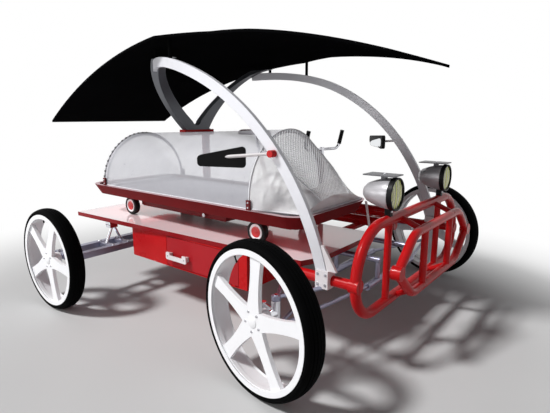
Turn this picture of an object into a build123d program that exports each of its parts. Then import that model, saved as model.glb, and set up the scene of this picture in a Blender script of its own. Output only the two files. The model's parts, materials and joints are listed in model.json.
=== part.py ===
from build123d import *
import os
from math import asin, cos, degrees, radians, sin, sqrt

os.makedirs("parts", exist_ok=True)

# Frame: millimetres, X forward, Y to the vehicle's left, Z up from the floor
SIDES = (("right", -1), ("left", 1))
FIT = 0.3
RUNNING_FIT = 0.06

# Road wheels
FRONT_AXLE_X = 1110
WHEELBASE = 1600
REAR_AXLE_X = FRONT_AXLE_X - WHEELBASE
FRONT_TYRE_R = 346
REAR_TYRE_R = 318
FRONT_TYRE_W = 100
REAR_TYRE_W = 92
FRONT_WHEEL_Y = 1003
REAR_WHEEL_Y = 1122
SIDEWALL = 37
RIM_WALL = 22
FLANGE_H = 4
FLANGE_W = 8
SHOULDER_DROP = 8
SHOULDER_W = 9
BEAD_TUCK = 3
SPOKES = 5
SPOKE_T = 20
SPOKE_RECESS = 12
RIM_SIDE_GAP = 2
RIM_DISH = 5
RIM_DISH_EDGE = 12
SPOKE_HUB_HALF = 44
SPOKE_WAIST_HALF = 28
SPOKE_RIM_HALF = 35
HUB_R = 66
HUB_BARREL_R = 36
HUB_BACK_GAP = 8
HUB_CAP_T = 6
AXLE_END_GAP = 2
AXLE_R = 12
STEER_AT_REST = 9.5

# Front knuckles and arms
KINGPIN_OFFSET = 97
UPRIGHT_R = 21
UPRIGHT_HALF = 58
PIN_R = 10
PIN_END = 4
STUB_SHOULDER_R = 20
STEER_ARM_L = 105
STEER_ARM_IN = 16
STEER_ARM_R = 11
BALL_R = 15
BALL_H = 28
EYE_R = 20
EYE_T = 22
EYE_GAP = 1
ARM_R = 10
ARM_SPREAD = 130
ARM_INNER_Y = 300
LOWER_ARM_RISE = 30
SUBFRAME_R = 20
SPINE_R = 16
SPINE_Y = 180
POST_TUBE_R = 14

# Chassis tubes and front guard
RAIL_R = 25
RAIL_Y = 670
RAIL_Z = 456
RAIL_REAR_X = 800
CROSS_R = 22
CROSS_FRONT_X = 850
CROSS_AHEAD = 80
CROSS_BEHIND = 110
CROSS_REAR_X = REAR_AXLE_X + CROSS_AHEAD
CROSS_TAIL_X = REAR_AXLE_X - CROSS_BEHIND
CROSS_RIGHT_Y = -560
GUARD_X = 1366
GUARD_TOP_Z = 697
GUARD_BOTTOM_Z = 278
GUARD_TOP_BEND = 235
GUARD_BOTTOM_BEND = 174
GUARD_BAR_R = 18
GUARD_BAR_Y = 350
BUMPER_X = 1490
BUMPER_R = 22
BUMPER_STUB_R = 15
BUMPER_STUB_Y = 240
BUMPER_HALF = 513
BUMPER_MID_Z = 500
BUMPER_TOP_Z = 646
BUMPER_BOTTOM_Z = 345
BUMPER_SHOULDER_Y = 335
BUMPER_BEND = 150
BUMPER_BAR_Y = 190
COLLAR_R = 33
COLLAR_L = 46

# Stretcher deck and drawer
DECK_TOP = 512
DECK_T = 28
DECK_OVERHANG = 341
DECK_REAR_X = REAR_AXLE_X - DECK_OVERHANG
DECK_FRONT_X = 1119
DECK_RIGHT_REAR_Y = -765
DECK_RIGHT_FRONT_Y = -668
DECK_LEFT_Y = 20
DECK_CHAMFER_X = 48
DECK_CHAMFER_Y = 110
CASE_AHEAD = 240
CASE_REAR_X = REAR_AXLE_X + CASE_AHEAD
CASE_FRONT_X = 760
CASE_RIGHT_Y = -706
CASE_LEFT_Y = -90
CASE_BOTTOM = 290
CASE_WALL = 4
DRAWER_REAR_X = 100
DRAWER_FRONT_X = 700
DRAWER_GAP = 3
DRAWER_WALL = 4
DRAWER_FRONT_T = 14
DRAWER_DEPTH = 520
DRAWER_LIP = 20
DRAWER_INSET = 6
RUNNER_H = 5
RUNNER_W = 20
RUNNER_INSET = 40
HANDLE_L = 180
HANDLE_H = 44
HANDLE_X = 220
HANDLE_Z = 368
HANDLE_STANDOFF = 22
HANDLE_T = 9
HANDLE_END_W = 34
HANDLE_DIP = 18
HANDLE_CORNER = 8

# Pedal frame on the left
BIKE_Y = 353
BIKE_RAIL_R = 33
BIKE_RAIL_ZS = (493, 572)
BIKE_TAIL = 20
BIKE_REAR_X = CROSS_TAIL_X - BIKE_TAIL
BIKE_SPACER_L = 24
BIKE_FRONT_X = 1105
BRACKET_X = 110
BRACKET_Z = 420
BRACKET_R = 24
BRACKET_W = 70
BRACKET_STRUT_X = 190
SEAT_TUBE_R = 19
SEAT_POST_R = 13
SEAT_TUBE_L = 480
SADDLE_X = -95
SADDLE_TOP = 1088
SADDLE_T = 46
SADDLE_L = 270
SADDLE_W = 160
SADDLE_NOSE_W = 44
SADDLE_WAIST_W = 60
SADDLE_WAIST_BACK = 10
SADDLE_TAIL = 30
SADDLE_TAIL_W = 120
SADDLE_EDGE = 11
HEAD_X = 528
HEAD_R = 21
HEAD_TOP = 900
HEAD_BORE_Z = 640
STEM_R = 15
STEM_END_GAP = 5
BAR_Z = 959
BAR_R = 11
BAR_HALF = 175
HORN_RISE = 125
HORN_REACH = 35
HORN_BEND = 40
GRIP_R = 15
GRIP_L = 95
GRIP_CAP = 6
CRANK_L = 165
CRANK_Y = 62
CRANK_DEG = 20
CRANK_ARM_R = 9
CRANK_BOSS_R = 13
SPINDLE_END = 8
CHAINRING_R = 88
CHAINRING_T = 5
CHAINRING_Y = 44
PEDAL_L = 92
PEDAL_W = 84
PEDAL_T = 22
PEDAL_GAP = 8
SPINDLE_R = 11
PEDAL_PIN_R = 6
PEDAL_SLEEVE_R = 10
PEDAL_PIN_GAP = 6
PEDAL_CAP_T = 5
PEDAL_EDGE = 7
SPROCKET_R = 40
SHAFT_TAIL = 20
CHAIN_T = 9
CHAIN_W = 8

# Rear arms and struts
REAR_ARM_Z = REAR_TYRE_R
REAR_ARM_BARS_X = (-82, 82)
REAR_BAR_W = 46
REAR_BAR_H = 40
REAR_RUNG_H = 34
REAR_ARM_INNER_Y = 300
REAR_UPRIGHT_T = 40
REAR_ARM_GAP = 12
REAR_ARM_POST_Y = 330
REAR_RUNGS_Y = (330, 642, 758)
STRUT_Y = 700
STRUT_R = 9
STRUT_SPREAD = 58
STRUT_BLOCK_X = 54
STRUT_BLOCK_Y = 56
STRUT_SINK = 4

# Stretcher
TRAY_REAR_X = -799
TRAY_FRONT_X = 1076
TRAY_RIGHT_Y = -685
TRAY_LEFT_Y = 45
TRAY_BOTTOM = 645
TRAY_TOP = 715
TRAY_FLARE = 42
TRAY_WALL = 8
TRAY_CORNER = 120
TRAY_RIM_W = 32
TRAY_RIM_T = 6
CASTER_R = 63
CASTER_W = 46
CASTER_XS = (-449, 710)
CASTER_RIGHT_Y = -560
CASTER_LEFT_Y = -80
CASTER_PIN_R = 9
CASTER_PLATE_T = 12
CASTER_PLATE_GAP = 2
CASTER_PLATE_W = 40
CASTER_PLATE_FOOT = 20
CASTER_EDGE = 7
CASTER_PIN_INSET = 3
LOCKER_REAR_X = -372
LOCKER_FRONT_X = 445
LOCKER_BOTTOM = 580
LOCKER_INSET = 22
LOCKER_CHAMFER = 11
PULL_X = 276
PULL_Z = 604
PULL_R = 11
PULL_NECK_R = 6
PULL_NECK_L = 8
PULL_L = 20
PAD_END_GAP = 117
PAD_SIDE_GAP = 75
PAD_T = 60
PAD_EDGE = 15

# Canopy on its hoops
HOOP_REAR_X = -614
HOOP_FRONT_X = 742
HOOP_R = 8
CANOPY_HALF = 345
CANOPY_WALL = 5
CANOPY_REAR_RISE = 8
CANOPY_FRONT_RISE = 58
NOSE_X = 1050
NOSE_HALF = 285
NOSE_RISE = 8
NOSE_CROWN = 60
TAB_H = 52
TAB_W = 26
TAB_T = 10

# Arches, vee strut, mast and roof
ARCH_FOOT_X = 1219.5
ARCH_FOOT_LIFT = 23
ARCH_R = 1357
ARCH_W = 54
ARCH_T = 24
ARCH_Y = 700
ARCH_FOOT_DEG = 14.2
ARCH_END_DEG = 95.5
ARCH_BEND_X = 430
ARCH_BEND_R = 1080
VEE_R = 377
VEE_W = 52
VEE_LEG_W = 44
VEE_FOOT_AHEAD = 15
VEE_TOP_AHEAD = 58
VEE_TOP_LIFT = 16
VEE_FOOT_Y = 88
VEE_CROTCH_Y = 40
VEE_CROTCH_LIFT = 62
VEE_CROTCH_DIP = 28
MAST_X = CROSS_REAR_X
MAST_Y = 112
MAST_R = 30
MAST_TOP = 1088
MAST_HEAD_H = 42
MAST_HEAD_HALF_X = 40
MAST_HEAD_RIGHT_Y = -125
MAST_HEAD_LEFT_Y = 175
MAST_HEAD_CORNER = 20
CLAMP_L = 66
CLAMP_W = 64
CLAMP_H = 86
GUSSET_H = 110
GUSSET_L = 70
GUSSET_T = 14
CLAMP_LIFT = 12
ROOF_T = 14
ROOF_REAR_X = -1513
ROOF_REAR_HALF = 567
ROOF_BELLY_X = -700
ROOF_BELLY_HALF = 632
ROOF_WIDE_X = 110
ROOF_WIDE_HALF = 728
ROOF_WAIST_X = 430
ROOF_WAIST_HALF = 604
ROOF_NECK_X = 690
ROOF_NECK_HALF = 594
ROOF_BROW_X = 1050
ROOF_BROW_HALF = 492
ROOF_CHEEK_X = 1330
ROOF_CHEEK_HALF = 350
ROOF_NOSE_X = 1485
ROOF_CREST_X = 350
ROOF_LIFT = 90
ROOF_REAR_R = 3900
ROOF_FRONT_DROP = 192
POST_R = 11
ROOF_POST_XS = (-110, 170)

# Lamps and mirrors
LAMP_Y = 361
LAMP_Z = 827
LAMP_FACE_X = 1408
LAMP_R = 80
LAMP_L = 168
LAMP_BACK_R = 28
LAMP_NECK_X = 151
LAMP_NECK_R = 45
LAMP_BELLY_X = 101
LAMP_BELLY_R = 64
LAMP_LIP = 4
LAMP_RING_T = 26
LAMP_RING_W = 10
LAMP_RING_EDGE = 3
LENS_DOME = 8
VISOR_L = 160
VISOR_W = 104
VISOR_T = 6
VISOR_Z = 912
VISOR_STEM_W = 24
VISOR_STEM_BACK = 72
LAMP_BRACKET_W = 30
MIRROR_KNOB_X = 944
KNOB_R = 17
KNOB_L = 34
MIRROR_ROD_R = 8
MIRROR_X = 720
MIRROR_Y = 830
MIRROR_DROP = 20
MIRROR_L = 230
MIRROR_H = 104
MIRROR_T = 26
MIRROR_TURN = 40
MIRROR_CORNER = 18
MIRROR_TIP_TOP = 8
MIRROR_TIP_LOW = 42
STOP_FOOT_X = 1098
STOP_TOP_X = 1062
STOP_R = 7
STOP_Y = 4
STOP_TOP_Z = 700
STOP_FOOT_R = 14
STOP_FOOT_H = 6


def write(piece, name):
    """Label a finished piece and write it as one file."""
    piece.part.label = name
    export_step(piece.part, f"parts/{name}.step")


def rod(start, end, radius):
    """Add a straight round bar to the piece being built."""
    axis = Vector(*end) - Vector(*start)
    with BuildSketch(Plane(origin=start, z_dir=axis)) as section:
        Circle(radius)
    extrude(section.sketch, amount=axis.length)


def bent_tube(points, bend, radius):
    """Add a round tube along straight runs joined by arcs of one radius."""
    with BuildLine() as path:
        FilletPolyline(*points, radius=bend)
    start = Plane(origin=path.line @ 0, z_dir=path.line % 0)
    with BuildSketch(start) as section:
        Circle(radius)
    sweep(section.sketch, path=path.line)


# Road wheels: one row per wheel with its body side, axle place and tyre size
wheel_columns = ("name", "side", "axle_x", "wheel_y", "tyre_r", "tyre_w", "steer", "phase")
wheel_rows = (
    ("front_right", -1, FRONT_AXLE_X, FRONT_WHEEL_Y, FRONT_TYRE_R, FRONT_TYRE_W, STEER_AT_REST, 85),
    ("front_left", 1, FRONT_AXLE_X, FRONT_WHEEL_Y, FRONT_TYRE_R, FRONT_TYRE_W, STEER_AT_REST, 100),
    ("rear_right", -1, REAR_AXLE_X, REAR_WHEEL_Y, REAR_TYRE_R, REAR_TYRE_W, 0, 66),
    ("rear_left", 1, REAR_AXLE_X, REAR_WHEEL_Y, REAR_TYRE_R, REAR_TYRE_W, 0, 100),
)
for row in wheel_rows:
    wheel = dict(zip(wheel_columns, row))
    side = wheel["side"]
    turn = radians(-wheel["steer"])
    forward = Vector(cos(turn), sin(turn), 0)
    outward = Vector(-sin(turn), cos(turn), 0) * side
    pivot = Vector(wheel["axle_x"], side * (wheel["wheel_y"] - KINGPIN_OFFSET), wheel["tyre_r"])
    centre = pivot + outward * KINGPIN_OFFSET
    section = Plane(origin=centre, x_dir=(0, 0, 1), z_dir=forward * -side)
    face = Plane(origin=centre, x_dir=forward, z_dir=outward)
    axle_line = Axis(centre, outward)
    rim_r = wheel["tyre_r"] - SIDEWALL
    rim_in = rim_r - RIM_WALL
    half = wheel["tyre_w"] / 2
    rim_half = half - RIM_SIDE_GAP

    with BuildSketch() as spoke:
        with BuildLine():
            root_x = HUB_R / 2
            tip_x = rim_in + RIM_DISH
            mid_x = (HUB_R + rim_in) / 2
            Line((root_x, SPOKE_HUB_HALF), (root_x, -SPOKE_HUB_HALF))
            ThreePointArc((root_x, -SPOKE_HUB_HALF), (mid_x, -SPOKE_WAIST_HALF), (tip_x, -SPOKE_RIM_HALF))
            Line((tip_x, -SPOKE_RIM_HALF), (tip_x, SPOKE_RIM_HALF))
            ThreePointArc((tip_x, SPOKE_RIM_HALF), (mid_x, SPOKE_WAIST_HALF), (root_x, SPOKE_HUB_HALF))
        make_face()

    with BuildPart() as rim:
        with BuildSketch(section):
            with BuildLine():
                Polyline(
                    (rim_in, rim_half), (rim_in + RIM_DISH, half - RIM_DISH_EDGE),
                    (rim_in + RIM_DISH, RIM_DISH_EDGE - half), (rim_in, -rim_half),
                    (rim_r + FLANGE_H, -rim_half), (rim_r + FLANGE_H, FLANGE_W - half),
                    (rim_r, FLANGE_W - half), (rim_r, half - FLANGE_W),
                    (rim_r + FLANGE_H, half - FLANGE_W), (rim_r + FLANGE_H, rim_half), close=True,
                )
            make_face()
        revolve(axis=axle_line)
        with BuildSketch(face.offset(half - SPOKE_RECESS - SPOKE_T)) as star:
            Circle(rim_in + RIM_DISH + FLANGE_H)
            Circle(rim_in, mode=Mode.SUBTRACT)
            Circle(HUB_R)
            with PolarLocations(0, SPOKES, start_angle=wheel["phase"]):
                add(spoke.sketch)
        extrude(star.sketch, amount=SPOKE_T)
        with BuildSketch(face.offset(HUB_BACK_GAP - half)) as barrel:
            Circle(HUB_BARREL_R)
        extrude(barrel.sketch, amount=2 * half - HUB_BACK_GAP - SPOKE_RECESS)
        with BuildSketch(face.offset(-half)) as axle_bore:
            Circle(AXLE_R + RUNNING_FIT)
        extrude(axle_bore.sketch, amount=2 * half - SPOKE_RECESS - HUB_CAP_T, mode=Mode.SUBTRACT)
    write(rim, f"rim_{wheel['name']}")

    with BuildPart() as tyre:
        seat_r = rim_r + FIT
        lip_r = rim_r + FLANGE_H + FIT
        bead = half - FLANGE_W - FIT
        shoulder_r = wheel["tyre_r"] - SHOULDER_DROP
        with BuildSketch(section):
            with BuildLine():
                side_r = (lip_r + shoulder_r) / 2
                foot = half - BEAD_TUCK
                tread = half - SHOULDER_W
                Polyline((lip_r, -foot), (lip_r, -bead), (seat_r, -bead),
                         (seat_r, bead), (lip_r, bead), (lip_r, foot))
                ThreePointArc((lip_r, foot), (side_r, half), (shoulder_r, tread))
                ThreePointArc((shoulder_r, tread), (wheel["tyre_r"], 0), (shoulder_r, -tread))
                ThreePointArc((shoulder_r, -tread), (side_r, -half), (lip_r, -foot))
            make_face()
        revolve(axis=axle_line)
    write(tyre, f"tyre_{wheel['name']}")

    if wheel["steer"]:
        with BuildPart() as knuckle:
            rod(pivot - Vector(0, 0, UPRIGHT_HALF), pivot + Vector(0, 0, UPRIGHT_HALF), UPRIGHT_R)
            pin_half = UPRIGHT_HALF + EYE_GAP + EYE_T + PIN_END
            rod(pivot - Vector(0, 0, pin_half), pivot + Vector(0, 0, pin_half), PIN_R)
            rod(pivot, centre - outward * (half - HUB_BACK_GAP / 2), STUB_SHOULDER_R)
            rod(pivot, centre + outward * (half - SPOKE_RECESS - HUB_CAP_T - AXLE_END_GAP), AXLE_R)
            ball = pivot - forward * STEER_ARM_L - outward * STEER_ARM_IN
            rod(pivot, ball, STEER_ARM_R)
            rod(ball - Vector(0, 0, BALL_H / 2), ball + Vector(0, 0, BALL_H / 2), BALL_R)
        write(knuckle, f"knuckle_{'right' if side < 0 else 'left'}")

# Front guard: a round-cornered hoop, a smaller pointed hoop ahead of it and their upright bars
with BuildPart() as guard:
    for end_z, bend in ((GUARD_TOP_Z, GUARD_TOP_BEND), (GUARD_BOTTOM_Z, GUARD_BOTTOM_BEND)):
        bent_tube([(GUARD_X, -RAIL_Y, RAIL_Z), (GUARD_X, -RAIL_Y, end_z),
                   (GUARD_X, RAIL_Y, end_z), (GUARD_X, RAIL_Y, RAIL_Z)], bend, RAIL_R)
    for end_z in (BUMPER_TOP_Z, BUMPER_BOTTOM_Z):
        bent_tube([(BUMPER_X, -BUMPER_HALF, BUMPER_MID_Z), (BUMPER_X, -BUMPER_SHOULDER_Y, end_z),
                   (BUMPER_X, BUMPER_SHOULDER_Y, end_z), (BUMPER_X, BUMPER_HALF, BUMPER_MID_Z)],
                  BUMPER_BEND, BUMPER_R)
    for side in (-1, 1):
        rod((GUARD_X, side * GUARD_BAR_Y, GUARD_BOTTOM_Z),
            (GUARD_X, side * GUARD_BAR_Y, GUARD_TOP_Z), GUARD_BAR_R)
        rod((BUMPER_X, side * BUMPER_BAR_Y, BUMPER_BOTTOM_Z),
            (BUMPER_X, side * BUMPER_BAR_Y, BUMPER_TOP_Z), GUARD_BAR_R)
        rod((GUARD_X - COLLAR_L / 2, side * RAIL_Y, RAIL_Z),
            (GUARD_X + COLLAR_L / 2, side * RAIL_Y, RAIL_Z), COLLAR_R)
        rod((BUMPER_X - COLLAR_L / 2, side * BUMPER_HALF, BUMPER_MID_Z),
            (BUMPER_X + COLLAR_L / 2, side * BUMPER_HALF, BUMPER_MID_Z), COLLAR_R)
        for guard_z, bumper_z in ((GUARD_TOP_Z, BUMPER_TOP_Z), (GUARD_BOTTOM_Z, BUMPER_BOTTOM_Z)):
            rod((GUARD_X, side * BUMPER_STUB_Y, guard_z),
                (BUMPER_X, side * BUMPER_STUB_Y, bumper_z), BUMPER_STUB_R)
write(guard, "front_guard")

# Chassis rails and cross tubes
cross_z = DECK_TOP - DECK_T - CROSS_R
with BuildPart() as chassis:
    for side, rear_x in ((-1, RAIL_REAR_X), (1, CROSS_TAIL_X - CROSS_R)):
        rod((rear_x, side * RAIL_Y, RAIL_Z), (GUARD_X, side * RAIL_Y, RAIL_Z), RAIL_R)
    rod((CROSS_FRONT_X, -RAIL_Y, cross_z), (CROSS_FRONT_X, RAIL_Y, cross_z), CROSS_R)
    for x in (CROSS_REAR_X, CROSS_TAIL_X):
        rod((x, CROSS_RIGHT_Y, cross_z), (x, RAIL_Y, cross_z), CROSS_R)
        for side in (-1, 1):
            rod((x, side * REAR_ARM_POST_Y, REAR_ARM_Z), (x, side * REAR_ARM_POST_Y, cross_z), POST_TUBE_R)
    add(guard.part, mode=Mode.SUBTRACT)
write(chassis, "chassis_tubes")

# Front subframe: cross tubes below the front of the deck, hung from the front cross tube
arm_eye_drop = UPRIGHT_HALF + EYE_GAP + EYE_T / 2
lower_arm_z = FRONT_TYRE_R - arm_eye_drop + LOWER_ARM_RISE
spine_z = cross_z - CROSS_R - SPINE_R
with BuildPart() as subframe:
    for along in (-ARM_SPREAD, ARM_SPREAD):
        x = FRONT_AXLE_X + along
        rod((x, -ARM_INNER_Y, lower_arm_z), (x, ARM_INNER_Y, lower_arm_z), SUBFRAME_R)
        for side in (-1, 1):
            rod((x, side * SPINE_Y, lower_arm_z), (x, side * SPINE_Y, spine_z), POST_TUBE_R)
    for side in (-1, 1):
        rod((CROSS_FRONT_X - CROSS_R, side * SPINE_Y, spine_z),
            (FRONT_AXLE_X + ARM_SPREAD + POST_TUBE_R, side * SPINE_Y, spine_z), SPINE_R)
write(subframe, "front_subframe")

# Rear arms: a flat ladder each side with its cross pieces, and the right wheel's stub axle
shaft_end = REAR_WHEEL_Y + REAR_TYRE_W / 2 - SPOKE_RECESS - HUB_CAP_T - AXLE_END_GAP
with BuildPart() as rear_arms:
    for side in (-1, 1):
        outer_y = REAR_WHEEL_Y - REAR_TYRE_W / 2 - REAR_ARM_GAP
        length = outer_y - REAR_ARM_INNER_Y
        for along in REAR_ARM_BARS_X:
            with Locations((REAR_AXLE_X + along, side * (outer_y - length / 2), REAR_ARM_Z)):
                Box(REAR_BAR_W, length, REAR_BAR_H)
        for y in (*REAR_RUNGS_Y, outer_y - REAR_UPRIGHT_T / 2):
            with Locations((REAR_AXLE_X, side * y, REAR_ARM_Z)):
                Box(REAR_ARM_BARS_X[1] - REAR_ARM_BARS_X[0], REAR_UPRIGHT_T, REAR_RUNG_H)
    with BuildSketch(Plane.XZ.offset(-REAR_WHEEL_Y)) as shaft_bore:
        with Locations((REAR_AXLE_X, REAR_TYRE_R)):
            Circle(AXLE_R + RUNNING_FIT)
    extrude(shaft_bore.sketch, amount=REAR_WHEEL_Y, mode=Mode.SUBTRACT)
    rod((REAR_AXLE_X, REAR_UPRIGHT_T - outer_y, REAR_TYRE_R), (REAR_AXLE_X, -shaft_end, REAR_TYRE_R), AXLE_R)
    add(chassis.part, mode=Mode.SUBTRACT)
write(rear_arms, "rear_arms")

# Left rear wheel's drive shaft with its sprocket
with BuildPart() as shaft:
    rod((REAR_AXLE_X, BIKE_Y + CHAINRING_Y - SHAFT_TAIL, REAR_TYRE_R),
        (REAR_AXLE_X, shaft_end, REAR_TYRE_R), AXLE_R)
    rod((REAR_AXLE_X, BIKE_Y + CHAINRING_Y - CHAINRING_T / 2, REAR_TYRE_R),
        (REAR_AXLE_X, BIKE_Y + CHAINRING_Y + CHAINRING_T / 2, REAR_TYRE_R), SPROCKET_R)
write(shaft, "drive_shaft")

# Deck plate with a tapered outer edge and a cut front corner
with BuildPart() as deck:
    with BuildSketch(Plane.XY.offset(DECK_TOP - DECK_T)):
        Polygon(
            (DECK_REAR_X, DECK_LEFT_Y), (DECK_REAR_X, DECK_RIGHT_REAR_Y),
            (DECK_FRONT_X - DECK_CHAMFER_X, DECK_RIGHT_FRONT_Y),
            (DECK_FRONT_X, DECK_RIGHT_FRONT_Y + DECK_CHAMFER_Y), (DECK_FRONT_X, DECK_LEFT_Y), align=None,
        )
    extrude(amount=DECK_T)
write(deck, "deck")

# Struts from the rear arms up to the deck and the left rail
with BuildPart() as struts:
    for side in (-1, 1):
        top = (REAR_AXLE_X, side * STRUT_Y, cross_z)
        for lean in (-STRUT_SPREAD, STRUT_SPREAD):
            foot_z = REAR_ARM_Z + REAR_BAR_H / 2 - STRUT_SINK
            rod((REAR_AXLE_X, side * (STRUT_Y + lean), foot_z), top, STRUT_R)
        with Locations((REAR_AXLE_X, side * (STRUT_Y + STRUT_R), cross_z)):
            Box(STRUT_BLOCK_X, STRUT_BLOCK_Y, 2 * CROSS_R)
    add(rear_arms.part, mode=Mode.SUBTRACT)
    add(chassis.part, mode=Mode.SUBTRACT)
write(struts, "rear_struts")

# Drawer case under the deck, open on its right side
case_l = CASE_FRONT_X - CASE_REAR_X
case_w = CASE_LEFT_Y - CASE_RIGHT_Y
case_top = DECK_TOP - DECK_T
case_h = case_top - CASE_BOTTOM
case_x = (CASE_FRONT_X + CASE_REAR_X) / 2
case_y = (CASE_LEFT_Y + CASE_RIGHT_Y) / 2
drawer_l = DRAWER_FRONT_X - DRAWER_REAR_X
drawer_x = (DRAWER_FRONT_X + DRAWER_REAR_X) / 2
drawer_floor = CASE_BOTTOM + CASE_WALL + RUNNER_H + FIT
with BuildPart() as case:
    with Locations((case_x, case_y, (case_top + CASE_BOTTOM) / 2)):
        Box(case_l, case_w, case_h)
        Box(case_l - 2 * CASE_WALL, case_w - 2 * CASE_WALL, case_h - 2 * CASE_WALL, mode=Mode.SUBTRACT)
    with Locations((drawer_x, CASE_RIGHT_Y, (case_top + CASE_BOTTOM) / 2)):
        Box(drawer_l, 4 * CASE_WALL, case_h - 2 * CASE_WALL, mode=Mode.SUBTRACT)
    for x in (DRAWER_REAR_X + RUNNER_INSET, DRAWER_FRONT_X - RUNNER_INSET):
        runner_l = DRAWER_FRONT_T + DRAWER_DEPTH
        with Locations((x, CASE_RIGHT_Y + runner_l / 2, CASE_BOTTOM + CASE_WALL + RUNNER_H / 2)):
            Box(RUNNER_W, runner_l, RUNNER_H)
write(case, "drawer_case")

with BuildPart() as drawer:
    front_h = case_h - 2 * CASE_WALL - RUNNER_H - DRAWER_GAP - FIT
    with Locations((drawer_x, CASE_RIGHT_Y + DRAWER_FRONT_T / 2, drawer_floor + front_h / 2)):
        Box(drawer_l - 2 * DRAWER_GAP, DRAWER_FRONT_T, front_h)
    box_h = front_h - DRAWER_LIP
    box_l = drawer_l - 2 * DRAWER_GAP - 2 * DRAWER_INSET
    box_y = CASE_RIGHT_Y + DRAWER_FRONT_T + DRAWER_DEPTH / 2
    with Locations((drawer_x, box_y, drawer_floor + box_h / 2)):
        Box(box_l, DRAWER_DEPTH, box_h)
    with Locations((drawer_x, box_y, drawer_floor + DRAWER_WALL + box_h / 2)):
        Box(box_l - 2 * DRAWER_WALL, DRAWER_DEPTH - 2 * DRAWER_WALL, box_h, mode=Mode.SUBTRACT)
write(drawer, "drawer")

with BuildPart() as handle:
    face_y = CASE_RIGHT_Y - HANDLE_STANDOFF
    with BuildSketch(Plane.XZ.offset(-face_y)) as grip:
        with Locations((HANDLE_X, HANDLE_Z)):
            RectangleRounded(HANDLE_L, HANDLE_H, HANDLE_CORNER)
        with Locations((HANDLE_X, HANDLE_Z + HANDLE_H / 2)):
            RectangleRounded(HANDLE_L - 2 * HANDLE_END_W, 2 * HANDLE_DIP, HANDLE_CORNER, mode=Mode.SUBTRACT)
    extrude(grip.sketch, amount=HANDLE_T)
    for side in (-1, 1):
        end_x = HANDLE_X + side * (HANDLE_L - HANDLE_END_W) / 2
        with Locations((end_x, CASE_RIGHT_Y - HANDLE_STANDOFF / 2, HANDLE_Z)):
            Box(HANDLE_END_W - 2 * HANDLE_CORNER, HANDLE_STANDOFF, HANDLE_H - 2 * HANDLE_CORNER)
write(handle, "drawer_handle")

# Pedal frame: twin rails, seat tube, bracket shell, front strut and steering head welded together
seat_lean = Vector(SADDLE_X - BRACKET_X, 0, SADDLE_TOP - SADDLE_T - BRACKET_Z).normalized()
bracket = Vector(BRACKET_X, BIKE_Y, BRACKET_Z)
seat_tube_top = bracket + seat_lean * SEAT_TUBE_L
seat_post_top = bracket + seat_lean * ((SADDLE_TOP - SADDLE_T - BRACKET_Z) / seat_lean.Z)
with BuildPart() as bike:
    for z in BIKE_RAIL_ZS:
        rod((BIKE_REAR_X, BIKE_Y, z), (BIKE_FRONT_X, BIKE_Y, z), BIKE_RAIL_R)
    for x in (BIKE_REAR_X + BIKE_SPACER_L / 2, BIKE_FRONT_X - BIKE_SPACER_L / 2, HEAD_X):
        with Locations((x, BIKE_Y, sum(BIKE_RAIL_ZS) / 2)):
            Box(BIKE_SPACER_L, BIKE_RAIL_R, BIKE_RAIL_ZS[1] - BIKE_RAIL_ZS[0])
    rod(bracket, seat_tube_top, SEAT_TUBE_R)
    rod(bracket, (BRACKET_X + BRACKET_STRUT_X, BIKE_Y, BIKE_RAIL_ZS[0]), SEAT_TUBE_R)
    rod(bracket - Vector(0, BRACKET_W / 2, 0), bracket + Vector(0, BRACKET_W / 2, 0), BRACKET_R)
    rod((HEAD_X, BIKE_Y, BIKE_RAIL_ZS[1]), (HEAD_X, BIKE_Y, HEAD_TOP), HEAD_R)
    with BuildSketch(Plane.XY.offset(HEAD_BORE_Z)) as head_bore:
        with Locations((HEAD_X, BIKE_Y)):
            Circle(STEM_R + RUNNING_FIT)
    extrude(head_bore.sketch, amount=HEAD_TOP, mode=Mode.SUBTRACT)
    with BuildSketch(Plane.XZ.offset(-BIKE_Y - BRACKET_W)) as spindle_bore:
        with Locations((BRACKET_X, BRACKET_Z)):
            Circle(SPINDLE_R + RUNNING_FIT)
    extrude(spindle_bore.sketch, amount=2 * BRACKET_W, mode=Mode.SUBTRACT)
    add(chassis.part, mode=Mode.SUBTRACT)
write(bike, "pedal_frame")

with BuildPart() as saddle:
    with BuildSketch(Plane.XY.offset(SADDLE_TOP - SADDLE_T)):
        with BuildLine():
            tail_x = SADDLE_X - SADDLE_L / 2
            nose_x = SADDLE_X + SADDLE_L / 2
            for side in (-1, 1):
                Polyline((nose_x, BIKE_Y + side * SADDLE_NOSE_W / 2),
                         (SADDLE_X - SADDLE_WAIST_BACK, BIKE_Y + side * SADDLE_WAIST_W / 2),
                         (tail_x + SADDLE_TAIL, BIKE_Y + side * SADDLE_W / 2),
                         (tail_x, BIKE_Y + side * SADDLE_TAIL_W / 2), (tail_x, BIKE_Y))
            ThreePointArc((nose_x, BIKE_Y - SADDLE_NOSE_W / 2), (nose_x + SADDLE_NOSE_W / 2, BIKE_Y),
                          (nose_x, BIKE_Y + SADDLE_NOSE_W / 2))
        make_face()
    extrude(amount=SADDLE_T)
    fillet(saddle.faces().sort_by(Axis.Z)[-1].edges(), radius=SADDLE_EDGE)
write(saddle, "saddle")

with BuildPart() as seat_post:
    rod(seat_tube_top, seat_post_top, SEAT_POST_R)
    add(saddle.part, mode=Mode.SUBTRACT)
write(seat_post, "seat_post")

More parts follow.
